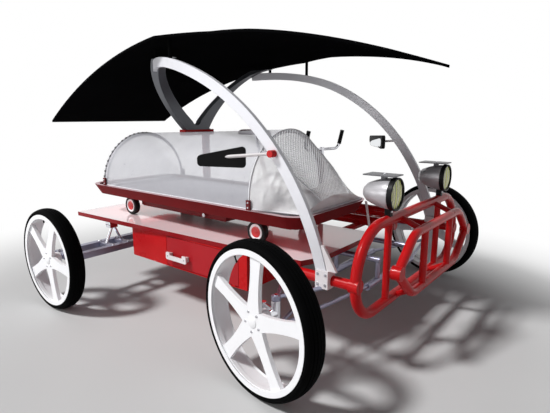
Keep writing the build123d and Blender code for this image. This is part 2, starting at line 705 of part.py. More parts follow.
# Steering: stem, bar with upturned ends and grips, turned as the wheels are
turn = radians(-STEER_AT_REST)
bar_left = Vector(-sin(turn), cos(turn), 0)
bar_forward = Vector(cos(turn), sin(turn), 0)
bar_centre = Vector(HEAD_X, BIKE_Y, BAR_Z)
bar_ends = [bar_centre - bar_left * BAR_HALF, bar_centre + bar_left * BAR_HALF]
horn_tips = [end + bar_forward * HORN_REACH + Vector(0, 0, HORN_RISE) for end in bar_ends]
with BuildPart() as handlebar:
    rod((HEAD_X, BIKE_Y, HEAD_BORE_Z + STEM_END_GAP), (HEAD_X, BIKE_Y, BAR_Z + STEM_R), STEM_R)
    bent_tube([horn_tips[0], bar_ends[0], bar_ends[1], horn_tips[1]], HORN_BEND, BAR_R)
write(handlebar, "handlebar")

with BuildPart() as grips:
    for end, tip in zip(bar_ends, horn_tips):
        along = (tip - end).normalized()
        rod(tip - along * GRIP_L, tip + along * GRIP_CAP, GRIP_R)
    add(handlebar.part, mode=Mode.SUBTRACT)
write(grips, "handlebar_grips")

# Cranks on their spindle with the chainring, and the two pedals
crank_dir = Vector(cos(radians(CRANK_DEG)), 0, sin(radians(CRANK_DEG)))
pedal_ends = [bracket + crank_dir * CRANK_L * side + Vector(0, CRANK_Y * side, 0) for side in (-1, 1)]
with BuildPart() as cranks:
    spindle = Vector(0, CRANK_Y + SPINDLE_END, 0)
    rod(bracket - spindle, bracket + spindle, SPINDLE_R)
    ring = bracket + Vector(0, CHAINRING_Y, 0)
    rod(ring - Vector(0, CHAINRING_T / 2, 0), ring + Vector(0, CHAINRING_T / 2, 0), CHAINRING_R)
    for side, end in zip((-1, 1), pedal_ends):
        rod(bracket + Vector(0, CRANK_Y * side, 0), end, CRANK_ARM_R)
        rod(end - Vector(0, CRANK_ARM_R, 0), end + Vector(0, CRANK_ARM_R, 0), CRANK_BOSS_R)
        rod(end, end + Vector(0, (PEDAL_GAP + CRANK_ARM_R + PEDAL_W - PEDAL_PIN_GAP) * side, 0), PEDAL_PIN_R)
write(cranks, "cranks")

for (name, side), end in zip(SIDES, pedal_ends):
    with BuildPart() as pedal:
        with Locations(end + Vector(0, (CRANK_ARM_R + PEDAL_GAP + PEDAL_W / 2) * side, 0)):
            Box(PEDAL_L, PEDAL_W, PEDAL_T)
        fillet(pedal.edges().filter_by(Axis.Y), radius=PEDAL_EDGE)
        rod(end, end + Vector(0, (CRANK_ARM_R + PEDAL_GAP + PEDAL_W - PEDAL_CAP_T) * side, 0), PEDAL_SLEEVE_R)
        with BuildSketch(Plane.XZ.offset(-end.Y)) as pin_bore:
            with Locations((end.X, end.Z)):
                Circle(PEDAL_PIN_R + RUNNING_FIT)
        bore_l = CRANK_ARM_R + PEDAL_GAP + PEDAL_W - PEDAL_CAP_T
        extrude(pin_bore.sketch, amount=-side * bore_l, mode=Mode.SUBTRACT)
        with Locations(end + Vector(0, (CRANK_ARM_R + PEDAL_GAP) / 2 * side, 0)):
            Box(PEDAL_L, CRANK_ARM_R + PEDAL_GAP, PEDAL_L, mode=Mode.SUBTRACT)
    write(pedal, f"pedal_{name}")

with BuildPart() as chain:
    with BuildSketch(Plane.XZ.offset(-BIKE_Y - CHAINRING_Y - CHAIN_W / 2)):
        for grow, mode in ((CHAIN_T, Mode.ADD), (0, Mode.SUBTRACT)):
            with BuildSketch(mode=mode):
                with Locations((BRACKET_X, BRACKET_Z)):
                    Circle(CHAINRING_R + FIT + grow)
                with Locations((REAR_AXLE_X, REAR_TYRE_R)):
                    Circle(SPROCKET_R + FIT + grow)
                make_hull()
    extrude(amount=CHAIN_W)
write(chain, "chain")

# Stretcher tray: a flared shallow hull with an inward rim
tray_l = TRAY_FRONT_X - TRAY_REAR_X
tray_w = TRAY_LEFT_Y - TRAY_RIGHT_Y
tray_x = (TRAY_FRONT_X + TRAY_REAR_X) / 2
tray_y = (TRAY_LEFT_Y + TRAY_RIGHT_Y) / 2
with BuildPart() as tray:
    for z, inset in ((TRAY_BOTTOM, TRAY_FLARE), (TRAY_TOP, 0)):
        with BuildSketch(Plane.XY.offset(z)):
            with Locations((tray_x, tray_y)):
                RectangleRounded(tray_l - 2 * inset, tray_w - 2 * inset, TRAY_CORNER - inset)
    loft()
    rim_low = TRAY_TOP - TRAY_RIM_T
    slope = TRAY_FLARE / (TRAY_TOP - TRAY_BOTTOM)
    for z in (TRAY_BOTTOM + TRAY_WALL, rim_low):
        inset = (TRAY_TOP - z) * slope + TRAY_WALL
        with BuildSketch(Plane.XY.offset(z)):
            with Locations((tray_x, tray_y)):
                RectangleRounded(tray_l - 2 * inset, tray_w - 2 * inset, TRAY_CORNER - inset)
    loft(mode=Mode.SUBTRACT)
    with BuildSketch(Plane.XY.offset(rim_low)):
        with Locations((tray_x, tray_y)):
            RectangleRounded(tray_l - 2 * TRAY_RIM_W, tray_w - 2 * TRAY_RIM_W, TRAY_CORNER - TRAY_RIM_W)
    extrude(amount=TRAY_RIM_T, mode=Mode.SUBTRACT)
write(tray, "stretcher_tray")

with BuildPart() as pad:
    with Locations((tray_x, tray_y, TRAY_BOTTOM + TRAY_WALL + FIT + PAD_T / 2)):
        Box(tray_l - 2 * PAD_END_GAP, tray_w - 2 * PAD_SIDE_GAP, PAD_T)
    fillet(pad.edges(), radius=PAD_EDGE)
write(pad, "stretcher_pad")

with BuildPart() as locker:
    locker_w = CASTER_LEFT_Y - CASTER_RIGHT_Y - 2 * LOCKER_INSET
    with BuildSketch(Plane.XY.offset(LOCKER_BOTTOM)):
        with Locations(((LOCKER_REAR_X + LOCKER_FRONT_X) / 2, tray_y)):
            Rectangle(LOCKER_FRONT_X - LOCKER_REAR_X, locker_w)
    extrude(amount=TRAY_BOTTOM - LOCKER_BOTTOM)
    chamfer(locker.faces().sort_by(Axis.Z)[0].edges(), length=LOCKER_CHAMFER)
write(locker, "stretcher_locker")

with BuildPart() as knob:
    pull_y = tray_y - locker_w / 2
    rod((PULL_X, pull_y, PULL_Z), (PULL_X, pull_y - PULL_NECK_L, PULL_Z), PULL_NECK_R)
    rod((PULL_X, pull_y - PULL_NECK_L, PULL_Z), (PULL_X, pull_y - PULL_L, PULL_Z), PULL_R)
write(knob, "locker_knob")

# Stretcher wheels on one-sided brackets under the tray
caster_z = DECK_TOP + CASTER_R + FIT
with BuildPart() as brackets:
    for x in CASTER_XS:
        for y, inward in ((CASTER_RIGHT_Y, 1), (CASTER_LEFT_Y, -1)):
            plate_y = y + inward * (CASTER_W / 2 + CASTER_PLATE_GAP + CASTER_PLATE_T / 2)
            height = TRAY_BOTTOM - caster_z + CASTER_PLATE_FOOT
            with Locations((x, plate_y, TRAY_BOTTOM - height / 2)):
                Box(CASTER_PLATE_W, CASTER_PLATE_T, height)
            pin_end = y - inward * (CASTER_W / 2 - CASTER_PIN_INSET)
            rod((x, plate_y, caster_z), (x, pin_end, caster_z), CASTER_PIN_R)
write(brackets, "caster_brackets")

for end_name, x in zip(("rear", "front"), CASTER_XS):
    for (name, side), y in zip(SIDES, (CASTER_RIGHT_Y, CASTER_LEFT_Y)):
        with BuildPart() as caster:
            with BuildSketch(Plane.XZ.offset(-y - CASTER_W / 2)):
                with Locations((x, caster_z)):
                    Circle(CASTER_R)
            extrude(amount=CASTER_W)
            fillet(caster.edges(), radius=CASTER_EDGE)
            with BuildSketch(Plane.XZ.offset(-y - CASTER_W / 2)):
                with Locations((x, caster_z)):
                    Circle(CASTER_PIN_R + RUNNING_FIT)
            extrude(amount=CASTER_W, mode=Mode.SUBTRACT)
        write(caster, f"caster_{end_name}_{name}")

# Canopy: a thin tunnel over the tray with a sloping nose, on two hoops
hoop_rows = ((HOOP_REAR_X, CANOPY_REAR_RISE), (HOOP_FRONT_X, CANOPY_FRONT_RISE))


def canopy_section(x, half, rise, crown, base):
    """Closed outline of the canopy at one station: straight sides under a round top."""
    with BuildSketch(Plane(origin=(x, tray_y, TRAY_TOP + FIT), x_dir=(0, 1, 0), z_dir=(1, 0, 0))) as outline:
        with BuildLine():
            Polyline((half, rise), (half, base), (-half, base), (-half, rise))
            ThreePointArc((-half, rise), (0, rise + crown), (half, rise))
        make_face()
    return outline.sketch


with BuildPart() as canopy:
    stations = ((HOOP_REAR_X, CANOPY_HALF, CANOPY_REAR_RISE, CANOPY_HALF),
                (HOOP_FRONT_X, CANOPY_HALF, CANOPY_FRONT_RISE, CANOPY_HALF),
                (NOSE_X, NOSE_HALF, NOSE_RISE, NOSE_CROWN))
    for first, second in zip(stations[:-1], stations[1:]):
        loft([canopy_section(*first, 0), canopy_section(*second, 0)])
    for first, second, start, end in ((stations[0], stations[1], CANOPY_WALL, 0),
                                      (stations[1], stations[2], 0, -CANOPY_WALL)):
        inner = [canopy_section(x + shift, half - CANOPY_WALL, rise, crown - CANOPY_WALL, -CANOPY_WALL)
                 for (x, half, rise, crown), shift in ((first, start), (second, end))]
        loft(inner, mode=Mode.SUBTRACT)
write(canopy, "canopy")

with BuildPart() as hoops:
    hoop_half = CANOPY_HALF - CANOPY_WALL - FIT - HOOP_R
    rise_slope = (CANOPY_FRONT_RISE - CANOPY_REAR_RISE) / (HOOP_FRONT_X - HOOP_REAR_X)
    for x in (HOOP_REAR_X + CANOPY_WALL + FIT + HOOP_R, HOOP_FRONT_X - HOOP_R):
        rise = CANOPY_REAR_RISE + rise_slope * (x - HOOP_R - HOOP_REAR_X)
        with BuildLine(Plane(origin=(x, tray_y, TRAY_TOP), x_dir=(0, 1, 0), z_dir=(1, 0, 0))) as path:
            Line((hoop_half, 0), (hoop_half, rise))
            ThreePointArc((hoop_half, rise), (0, rise + hoop_half), (-hoop_half, rise))
            Line((-hoop_half, rise), (-hoop_half, 0))
        with BuildSketch(Plane(origin=path.line @ 0, z_dir=path.line % 0)):
            Circle(HOOP_R)
        sweep(path=path.line)
write(hoops, "canopy_hoops")

with BuildPart() as tabs:
    for x in (HOOP_REAR_X + TAB_W / 2, HOOP_FRONT_X):
        for side in (-1, 1):
            with Locations((x, tray_y + side * (CANOPY_HALF + FIT + TAB_T / 2), TRAY_TOP + TAB_H / 2)):
                Box(TAB_W, TAB_T, TAB_H)
write(tabs, "hoop_tabs")

# Mast behind the stretcher with a broad head
with BuildPart() as mast:
    rod((MAST_X, MAST_Y, cross_z), (MAST_X, MAST_Y, MAST_TOP - MAST_HEAD_H / 2), MAST_R)
    with Locations((MAST_X, (MAST_HEAD_LEFT_Y + MAST_HEAD_RIGHT_Y) / 2, MAST_TOP - MAST_HEAD_H / 2)):
        Box(2 * MAST_HEAD_HALF_X, MAST_HEAD_LEFT_Y - MAST_HEAD_RIGHT_Y, MAST_HEAD_H)
    fillet(mast.edges().filter_by(Axis.Z), radius=MAST_HEAD_CORNER)
    add(chassis.part, mode=Mode.SUBTRACT)
write(mast, "mast")

# Lines that the arches, the vee strut and the roof share
arch_cx = ARCH_FOOT_X - ARCH_R * cos(radians(ARCH_FOOT_DEG))
arch_cz = RAIL_Z + ARCH_FOOT_LIFT - ARCH_R * sin(radians(ARCH_FOOT_DEG))
arch_top = arch_cz + ARCH_R + ARCH_W / 2
arch_end_x = arch_cx + ARCH_R * cos(radians(ARCH_END_DEG))


def arch_y(x):
    """Distance of the arch from the middle of the vehicle where it is bent inwards."""
    return ARCH_Y - ARCH_BEND_R + sqrt(ARCH_BEND_R**2 - (ARCH_BEND_X - x) ** 2)


def arch_z(x):
    """Height of the arch's middle line."""
    return arch_cz + sqrt(ARCH_R**2 - (x - arch_cx) ** 2)


# Vee strut: two flat legs that spread from the mast head to the arch tops, curved in side view
vee_foot = Vector(MAST_X + VEE_FOOT_AHEAD, MAST_TOP)
vee_top = Vector(arch_end_x + VEE_TOP_AHEAD, arch_top + VEE_TOP_LIFT)
vee_chord = vee_top - vee_foot
vee_across = Vector(vee_chord.Y, -vee_chord.X).normalized()
vee_centre = (vee_foot + vee_top) / 2 + vee_across * sqrt(VEE_R**2 - (vee_chord.length / 2) ** 2)
vee_top_y = arch_y(arch_end_x)
with BuildPart() as vee:
    with BuildSketch(Plane.YZ):
        with BuildLine():
            crotch_z = MAST_TOP + VEE_CROTCH_LIFT
            for side in (-1, 1):
                Polyline((0, MAST_TOP), (side * (VEE_FOOT_Y + VEE_LEG_W / 2), MAST_TOP),
                         (side * (vee_top_y + VEE_LEG_W / 2), vee_top.Y),
                         (side * (vee_top_y - VEE_LEG_W / 2), vee_top.Y),
                         (side * VEE_CROTCH_Y, crotch_z))
            ThreePointArc((VEE_CROTCH_Y, crotch_z), (0, crotch_z - VEE_CROTCH_DIP), (-VEE_CROTCH_Y, crotch_z))
        make_face()
    extrude(amount=2 * VEE_R, both=True)
    with BuildSketch(Plane.XZ):
        with Locations((vee_centre.X, vee_centre.Y)):
            Circle(VEE_R + VEE_W / 2)
            Circle(VEE_R - VEE_W / 2, mode=Mode.SUBTRACT)
        with Locations((vee_centre.X + VEE_R, vee_centre.Y)):
            Rectangle(2 * VEE_R, 3 * VEE_R, mode=Mode.SUBTRACT)
    extrude(amount=2 * ARCH_Y, both=True, mode=Mode.INTERSECT)
write(vee, "roof_vee")

# Arches: a flat hoop each side, bent inwards over the stretcher to meet the vee strut
arch_parts = []
for name, side in SIDES:
    with BuildPart() as arch:
        with BuildSketch(Plane.XZ):
            with BuildLine():
                span = ARCH_END_DEG - ARCH_FOOT_DEG
                outer = CenterArc((arch_cx, arch_cz), ARCH_R + ARCH_W / 2, ARCH_FOOT_DEG, span)
                inner = CenterArc((arch_cx, arch_cz), ARCH_R - ARCH_W / 2, ARCH_FOOT_DEG, span)
                Line(outer @ 0, inner @ 0)
                Line(outer @ 1, inner @ 1)
            make_face()
        extrude(amount=2 * ARCH_Y, both=True)
        with BuildSketch(Plane.XY):
            with BuildLine():
                bend_centre = (ARCH_BEND_X, side * (ARCH_Y - ARCH_BEND_R))
                start_deg = 90 * side
                sweep_deg = side * degrees(asin((ARCH_BEND_X - arch_end_x + ARCH_W) / ARCH_BEND_R))
                near = CenterArc(bend_centre, ARCH_BEND_R + ARCH_T / 2, start_deg, sweep_deg)
                far = CenterArc(bend_centre, ARCH_BEND_R - ARCH_T / 2, start_deg, sweep_deg)
                Line(near @ 1, far @ 1)
                Polyline(near @ 0, (arch_cx + 2 * ARCH_R, side * (ARCH_Y + ARCH_T / 2)),
                         (arch_cx + 2 * ARCH_R, side * (ARCH_Y - ARCH_T / 2)), far @ 0)
            make_face()
        extrude(amount=2 * ARCH_R, mode=Mode.INTERSECT)
        add(vee.part, mode=Mode.SUBTRACT)
    write(arch, f"arch_{name}")
    arch_parts.append(arch.part)

# Clamp feet that hold the arches on the side rails, each with a gusset
with BuildPart() as clamps:
    for side in (-1, 1):
        with Locations((ARCH_FOOT_X, side * (RAIL_Y + ARCH_Y) / 2, RAIL_Z + CLAMP_LIFT)):
            Box(CLAMP_L, CLAMP_W, CLAMP_H)
        with BuildSketch(Plane.XZ.offset(-side * ARCH_Y - GUSSET_T / 2)) as gusset:
            with Locations((ARCH_FOOT_X, RAIL_Z + CLAMP_LIFT + CLAMP_H / 2)):
                Polygon((-CLAMP_L / 2, -1), (GUSSET_L, -1), (0, GUSSET_H), (-CLAMP_L, GUSSET_H), align=None)
        extrude(gusset.sketch, amount=GUSSET_T)
    for piece in (*arch_parts, chassis.part):
        add(piece, mode=Mode.SUBTRACT)
write(clamps, "arch_clamps")

# Front arms: a lower and an upper fork each side, from the subframe and rails to the kingpin eyes
with BuildPart() as front_arms:
    for side in (-1, 1):
        kingpin = (FRONT_AXLE_X, side * (FRONT_WHEEL_Y - KINGPIN_OFFSET))
        upper_arm_z = RAIL_Z - RAIL_R - ARM_R / 2
        for up, inner_y, inner_z in ((-1, ARM_INNER_Y, lower_arm_z), (1, RAIL_Y, upper_arm_z)):
            eye_z = FRONT_TYRE_R + up * arm_eye_drop
            with BuildSketch(Plane.XY.offset(eye_z - EYE_T / 2)) as eye:
                with Locations(kingpin):
                    Circle(EYE_R)
            extrude(eye.sketch, amount=EYE_T)
            for along in (-ARM_SPREAD, ARM_SPREAD):
                rod((FRONT_AXLE_X + along, side * inner_y, inner_z),
                    (kingpin[0], kingpin[1] - side * PIN_R, eye_z), ARM_R)
            with BuildSketch(Plane.XY.offset(eye_z - EYE_T)) as bore:
                with Locations(kingpin):
                    Circle(PIN_R + RUNNING_FIT)
            extrude(bore.sketch, amount=2 * EYE_T, mode=Mode.SUBTRACT)
    for piece in (subframe.part, chassis.part, clamps.part):
        add(piece, mode=Mode.SUBTRACT)
write(front_arms, "front_arms")

# Roof: a thin sheet curved along its length, leaf shaped in plan
roof_crest_z = arch_top + ROOF_LIFT
roof_front_z = roof_crest_z - ROOF_FRONT_DROP
with BuildPart() as roof:
    with BuildSketch(Plane.XZ):
        with BuildLine() as crown:
            rear_z = roof_crest_z - ROOF_REAR_R + sqrt(ROOF_REAR_R**2 - (ROOF_REAR_X - ROOF_CREST_X) ** 2)
            rear = RadiusArc((ROOF_CREST_X, roof_crest_z), (ROOF_REAR_X, rear_z), -ROOF_REAR_R)
            front = TangentArc((ROOF_CREST_X, roof_crest_z), (ROOF_NOSE_X, roof_front_z), tangent=(1, 0))
        trace(crown.line, line_width=ROOF_T)
    extrude(amount=2 * ROOF_WIDE_HALF, both=True)
    with BuildSketch(Plane.XY):
        with BuildLine():
            for side in (-1, 1):
                Line((ROOF_REAR_X, 0), (ROOF_REAR_X, side * ROOF_REAR_HALF))
                ThreePointArc((ROOF_REAR_X, side * ROOF_REAR_HALF), (ROOF_BELLY_X, side * ROOF_BELLY_HALF),
                              (ROOF_WIDE_X, side * ROOF_WIDE_HALF))
                Polyline((ROOF_WIDE_X, side * ROOF_WIDE_HALF), (ROOF_WAIST_X, side * ROOF_WAIST_HALF),
                         (ROOF_NECK_X, side * ROOF_NECK_HALF))
                ThreePointArc((ROOF_NECK_X, side * ROOF_NECK_HALF), (ROOF_BROW_X, side * ROOF_BROW_HALF),
                              (ROOF_CHEEK_X, side * ROOF_CHEEK_HALF))
                Line((ROOF_CHEEK_X, side * ROOF_CHEEK_HALF), (ROOF_NOSE_X, 0))
        make_face()
    extrude(amount=2 * roof_crest_z, mode=Mode.INTERSECT)
write(roof, "roof")

# Posts between the arches and the roof
with BuildPart() as posts:
    for x in ROOF_POST_XS:
        for side in (-1, 1):
            foot = (x, side * arch_y(x), arch_z(x))
            rod(foot, (x, side * arch_y(x), roof_crest_z + ROOF_T), POST_R)
    with BuildSketch(Plane.XZ):
        with BuildLine() as under:
            under_z = roof_crest_z - ROOF_T / 2
            low_rear = RadiusArc((ROOF_CREST_X, under_z), (ROOF_REAR_X, rear_z - ROOF_T / 2), -ROOF_REAR_R)
            low_front = TangentArc((ROOF_CREST_X, under_z), (ROOF_NOSE_X, roof_front_z - ROOF_T / 2),
                                   tangent=(1, 0))
            Polyline(low_rear @ 1, (ROOF_REAR_X, 2 * under_z), (ROOF_NOSE_X, 2 * under_z), low_front @ 1)
        make_face()
    extrude(amount=2 * ROOF_WIDE_HALF, both=True, mode=Mode.SUBTRACT)
    for piece in (*arch_parts, roof.part):
        add(piece, mode=Mode.SUBTRACT)
write(posts, "roof_posts")

# Head lamps: bowl, rim ring, lens, top plate and bracket on each side
lamp_section = {side: Plane(origin=(LAMP_FACE_X, side * LAMP_Y, LAMP_Z), x_dir=(1, 0, 0), z_dir=(0, -1, 0))
                for side in (-1, 1)}
lamp_axis = {side: Axis((LAMP_FACE_X, side * LAMP_Y, LAMP_Z), (1, 0, 0)) for side in (-1, 1)}
bowl_front = -LAMP_RING_T
bowl_r = LAMP_R - LAMP_LIP
with BuildPart() as shells:
    for side in (-1, 1):
        with BuildSketch(lamp_section[side]) as bowl:
            with BuildLine():
                Polyline((-LAMP_L, 0), (-LAMP_L, LAMP_BACK_R), (-LAMP_NECK_X, LAMP_NECK_R))
                ThreePointArc((-LAMP_NECK_X, LAMP_NECK_R), (-LAMP_BELLY_X, LAMP_BELLY_R),
                              (bowl_front, bowl_r))
                Polyline((bowl_front, bowl_r), (bowl_front, 0), (-LAMP_L, 0))
            make_face()
        revolve(bowl.sketch, axis=lamp_axis[side])
write(shells, "lamp_shells")

with BuildPart() as rings:
    for side in (-1, 1):
        with BuildSketch(lamp_section[side]) as band:
            with Locations((bowl_front / 2, LAMP_R - LAMP_RING_W / 2)):
                RectangleRounded(LAMP_RING_T, LAMP_RING_W, LAMP_RING_EDGE)
        revolve(band.sketch, axis=lamp_axis[side])
write(rings, "lamp_rings")

with BuildPart() as lenses:
    for side in (-1, 1):
        with BuildSketch(lamp_section[side]) as glass:
            with BuildLine():
                lens_r = LAMP_R - LAMP_RING_W - FIT
                Polyline((0, 0), (bowl_front, 0), (bowl_front, lens_r), (-LENS_DOME, lens_r))
                TangentArc((0, 0), (-LENS_DOME, lens_r), tangent=(0, 1))
            make_face()
        revolve(glass.sketch, axis=lamp_axis[side])
write(lenses, "lamp_lenses")

with BuildPart() as visors:
    for side in (-1, 1):
        with Locations((LAMP_FACE_X - VISOR_L / 2, side * LAMP_Y, VISOR_Z + VISOR_T / 2)):
            Box(VISOR_L, VISOR_W, VISOR_T)
        with Locations((LAMP_FACE_X - VISOR_STEM_BACK, side * LAMP_Y, (VISOR_Z + LAMP_Z) / 2)):
            Box(VISOR_STEM_W, VISOR_STEM_W, VISOR_Z - LAMP_Z)
    add(shells.part, mode=Mode.SUBTRACT)
write(visors, "lamp_visors")

with BuildPart() as lamp_brackets:
    for side in (-1, 1):
        with Locations((GUARD_X, side * LAMP_Y, (GUARD_TOP_Z + LAMP_Z - LAMP_R / 2) / 2)):
            Box(LAMP_BRACKET_W, LAMP_BRACKET_W, LAMP_Z - LAMP_R / 2 - GUARD_TOP_Z)
    for piece in (shells.part, guard.part):
        add(piece, mode=Mode.SUBTRACT)
write(lamp_brackets, "lamp_brackets")

# Mirrors: a knob on each arch, a rod and a paddle
mirror_knob_z = arch_z(MIRROR_KNOB_X)
mirror_z = mirror_knob_z - MIRROR_DROP
with BuildPart() as knobs:
    for side in (-1, 1):
        face_y = side * (ARCH_Y + ARCH_T / 2)
        rod((MIRROR_KNOB_X, face_y, mirror_knob_z),
            (MIRROR_KNOB_X, face_y + side * KNOB_L, mirror_knob_z), KNOB_R)
write(knobs, "mirror_knobs")

with BuildPart() as mirror_rods:
    for side in (-1, 1):
        rod((MIRROR_KNOB_X, side * (ARCH_Y + ARCH_T / 2 + KNOB_L / 2), mirror_knob_z),
            (MIRROR_X, side * MIRROR_Y, mirror_z), MIRROR_ROD_R)
    add(knobs.part, mode=Mode.SUBTRACT)
write(mirror_rods, "mirror_rods")

with BuildPart() as mirrors:
    for side in (-1, 1):
        lean = radians(MIRROR_TURN)
        paddle = Plane(origin=(MIRROR_X, side * MIRROR_Y, mirror_z), x_dir=(cos(lean), -side * sin(lean), 0),
                       z_dir=(sin(lean), side * cos(lean), 0))
        with BuildSketch(paddle.offset(-MIRROR_T / 2)) as oval:
            Polygon((MIRROR_L / 2, -MIRROR_H / 2), (MIRROR_L / 2, MIRROR_H / 2),
                    (-MIRROR_L / 2, MIRROR_TIP_TOP), (-MIRROR_L / 2, -MIRROR_TIP_LOW), align=None)
            fillet(oval.vertices(), radius=MIRROR_CORNER)
        extrude(oval.sketch, amount=MIRROR_T)
    add(mirror_rods.part, mode=Mode.SUBTRACT)
write(mirrors, "mirrors")

# Stay at the front of the deck that stops the stretcher
with BuildPart() as stop:
    rod((STOP_FOOT_X, STOP_Y, DECK_TOP), (STOP_TOP_X, STOP_Y, STOP_TOP_Z), STOP_R)
    rod((STOP_FOOT_X, STOP_Y, DECK_TOP), (STOP_FOOT_X, STOP_Y, DECK_TOP + STOP_FOOT_H), STOP_FOOT_R)
    add(deck.part, mode=Mode.SUBTRACT)
write(stop, "stretcher_stop")
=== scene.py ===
"""Looks of a bicycle ambulance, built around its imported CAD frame. All lengths are in metres."""

import json
from math import acos, asin, atan2, cos, pi, radians, sin, sqrt

import bmesh
import bpy
from mathutils import Matrix, Vector, noise


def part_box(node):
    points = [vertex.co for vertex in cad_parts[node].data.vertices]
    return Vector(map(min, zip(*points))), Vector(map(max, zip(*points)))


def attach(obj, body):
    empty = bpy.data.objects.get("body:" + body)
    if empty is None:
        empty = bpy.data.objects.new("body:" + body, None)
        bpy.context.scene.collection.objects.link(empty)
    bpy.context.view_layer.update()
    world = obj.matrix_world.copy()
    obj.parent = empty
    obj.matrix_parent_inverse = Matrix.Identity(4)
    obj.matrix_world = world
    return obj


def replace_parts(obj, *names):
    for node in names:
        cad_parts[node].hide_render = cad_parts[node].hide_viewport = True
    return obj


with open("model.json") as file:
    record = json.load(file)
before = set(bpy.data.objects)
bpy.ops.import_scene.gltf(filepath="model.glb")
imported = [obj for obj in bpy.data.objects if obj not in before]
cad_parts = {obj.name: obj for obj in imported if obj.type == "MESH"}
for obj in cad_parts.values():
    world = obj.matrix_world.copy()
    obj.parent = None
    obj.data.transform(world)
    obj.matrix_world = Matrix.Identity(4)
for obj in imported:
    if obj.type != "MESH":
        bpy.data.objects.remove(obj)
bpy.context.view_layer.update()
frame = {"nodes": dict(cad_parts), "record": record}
nodes = frame["nodes"]
SIDES = (-1, 1)


# Materials
def nodes_of(name):
    """A new material with its node tree and shader."""
    made = bpy.data.materials.new(name)
    made.use_nodes = True
    tree = made.node_tree
    return made, tree, tree.nodes["Principled BSDF"]


def add_node(tree, kind, values=(), **settings):
    """A node with its settings and the values of its input sockets."""
    node = tree.nodes.new(kind)
    for key, value in settings.items():
        setattr(node, key, value)
    for key, value in dict(values).items():
        node.inputs[key].default_value = value
    return node


def ramp_of(tree, source, low, high, start=0.3, end=0.7):
    """Two colours blended by a grey value."""
    ramp = add_node(tree, "ShaderNodeValToRGB")
    ramp.color_ramp.elements[0].position = start
    ramp.color_ramp.elements[1].position = end
    ramp.color_ramp.elements[0].color = (*low, 1)
    ramp.color_ramp.elements[1].color = (*high, 1)
    tree.links.new(source, ramp.inputs["Fac"])
    return ramp.outputs["Color"]


def shade(colour, factor):
    """A colour made lighter or darker."""
    return tuple(min(1.0, max(0.0, c * factor)) for c in colour)


# Heights of the face normals that take the painted light of a surface's top and underside
TOP_FACES = (0.80, 0.95)
UNDER_FACES = (-0.60, -0.80)


def surface(name, base, rough, tint=0.05, grain=5.0, span=0.06, bump=0.12, fine=700.0, depth=0.0002,
            edge=0.0, top=None, under=None, top_coat=0.0, weave=0.0, **sockets):
    """A procedural finish: clouded colour, uneven roughness and fine relief.

    Faces that look up or down may have another colour that is painted light, a lighter top for light falling
    from above or a brighter underside, and the upper ones a coat.
    """
    made, tree, shader = nodes_of(name)
    link = tree.links.new
    place = add_node(tree, "ShaderNodeTexCoord").outputs["Object"]
    cloud = add_node(tree, "ShaderNodeTexNoise", {"Scale": grain, "Detail": 5.0, "Roughness": 0.6})
    link(place, cloud.inputs["Vector"])
    spots = cloud.outputs["Fac"]
    colour = ramp_of(tree, spots, shade(base, 1 - tint), shade(base, 1 + tint))
    # Painted light: faces that look up or down get a colour lighter or brighter than the base, standing in
    # for how the light falls on them
    for painted_light, (start, end) in ((top, TOP_FACES), (under, UNDER_FACES)):
        if not painted_light:
            continue
        up = add_node(tree, "ShaderNodeSeparateXYZ")
        link(add_node(tree, "ShaderNodeNewGeometry").outputs["Normal"], up.inputs["Vector"])
        limits = {"From Min": start, "From Max": end}
        face = add_node(tree, "ShaderNodeMapRange", limits)
        link(up.outputs["Z"], face.inputs["Value"])
        mix = add_node(tree, "ShaderNodeMix", data_type="RGBA")
        link(face.outputs["Result"], mix.inputs["Factor"])
        link(colour, mix.inputs["A"])
        link(ramp_of(tree, spots, shade(painted_light, 1 - tint), shade(painted_light, 1 + tint)), mix.inputs["B"])
        colour = mix.outputs["Result"]
        if painted_light is top and top_coat:
            coat = add_node(tree, "ShaderNodeMapRange", {**limits, "To Max": top_coat})
            link(up.outputs["Z"], coat.inputs["Value"])
            link(coat.outputs["Result"], shader.inputs["Coat Weight"])
    link(colour, shader.inputs["Base Color"])
    gloss = add_node(tree, "ShaderNodeMapRange", {"From Min": 0.3, "From Max": 0.7,
                                                  "To Min": max(0.0, rough - span), "To Max": rough + span})
    link(spots, gloss.inputs["Value"])
    link(gloss.outputs["Result"], shader.inputs["Roughness"])
    relief = add_node(tree, "ShaderNodeTexNoise", {"Scale": fine, "Detail": 3.0})
    link(place, relief.inputs["Vector"])
    height = relief.outputs["Fac"]
    if weave:
        cross = add_node(tree, "ShaderNodeMath", operation="MULTIPLY")
        for i, direction in enumerate(("X", "Y")):
            thread = add_node(tree, "ShaderNodeTexWave", {"Scale": weave, "Distortion": 0.4},
                              wave_type="BANDS", bands_direction=direction)
            link(place, thread.inputs["Vector"])
            link(thread.outputs["Fac"], cross.inputs[i])
        height = cross.outputs["Value"]
    lift = add_node(tree, "ShaderNodeBump", {"Strength": bump, "Distance": depth})
    link(height, lift.inputs["Height"])
    if edge:
        round_edge = add_node(tree, "ShaderNodeBevel", {"Radius": edge}, samples=4)
        link(round_edge.outputs["Normal"], lift.inputs["Normal"])
    link(lift.outputs["Normal"], shader.inputs["Normal"])
    for key, value in sockets.items():
        shader.inputs[key.replace("_", " ")].default_value = value
    return made


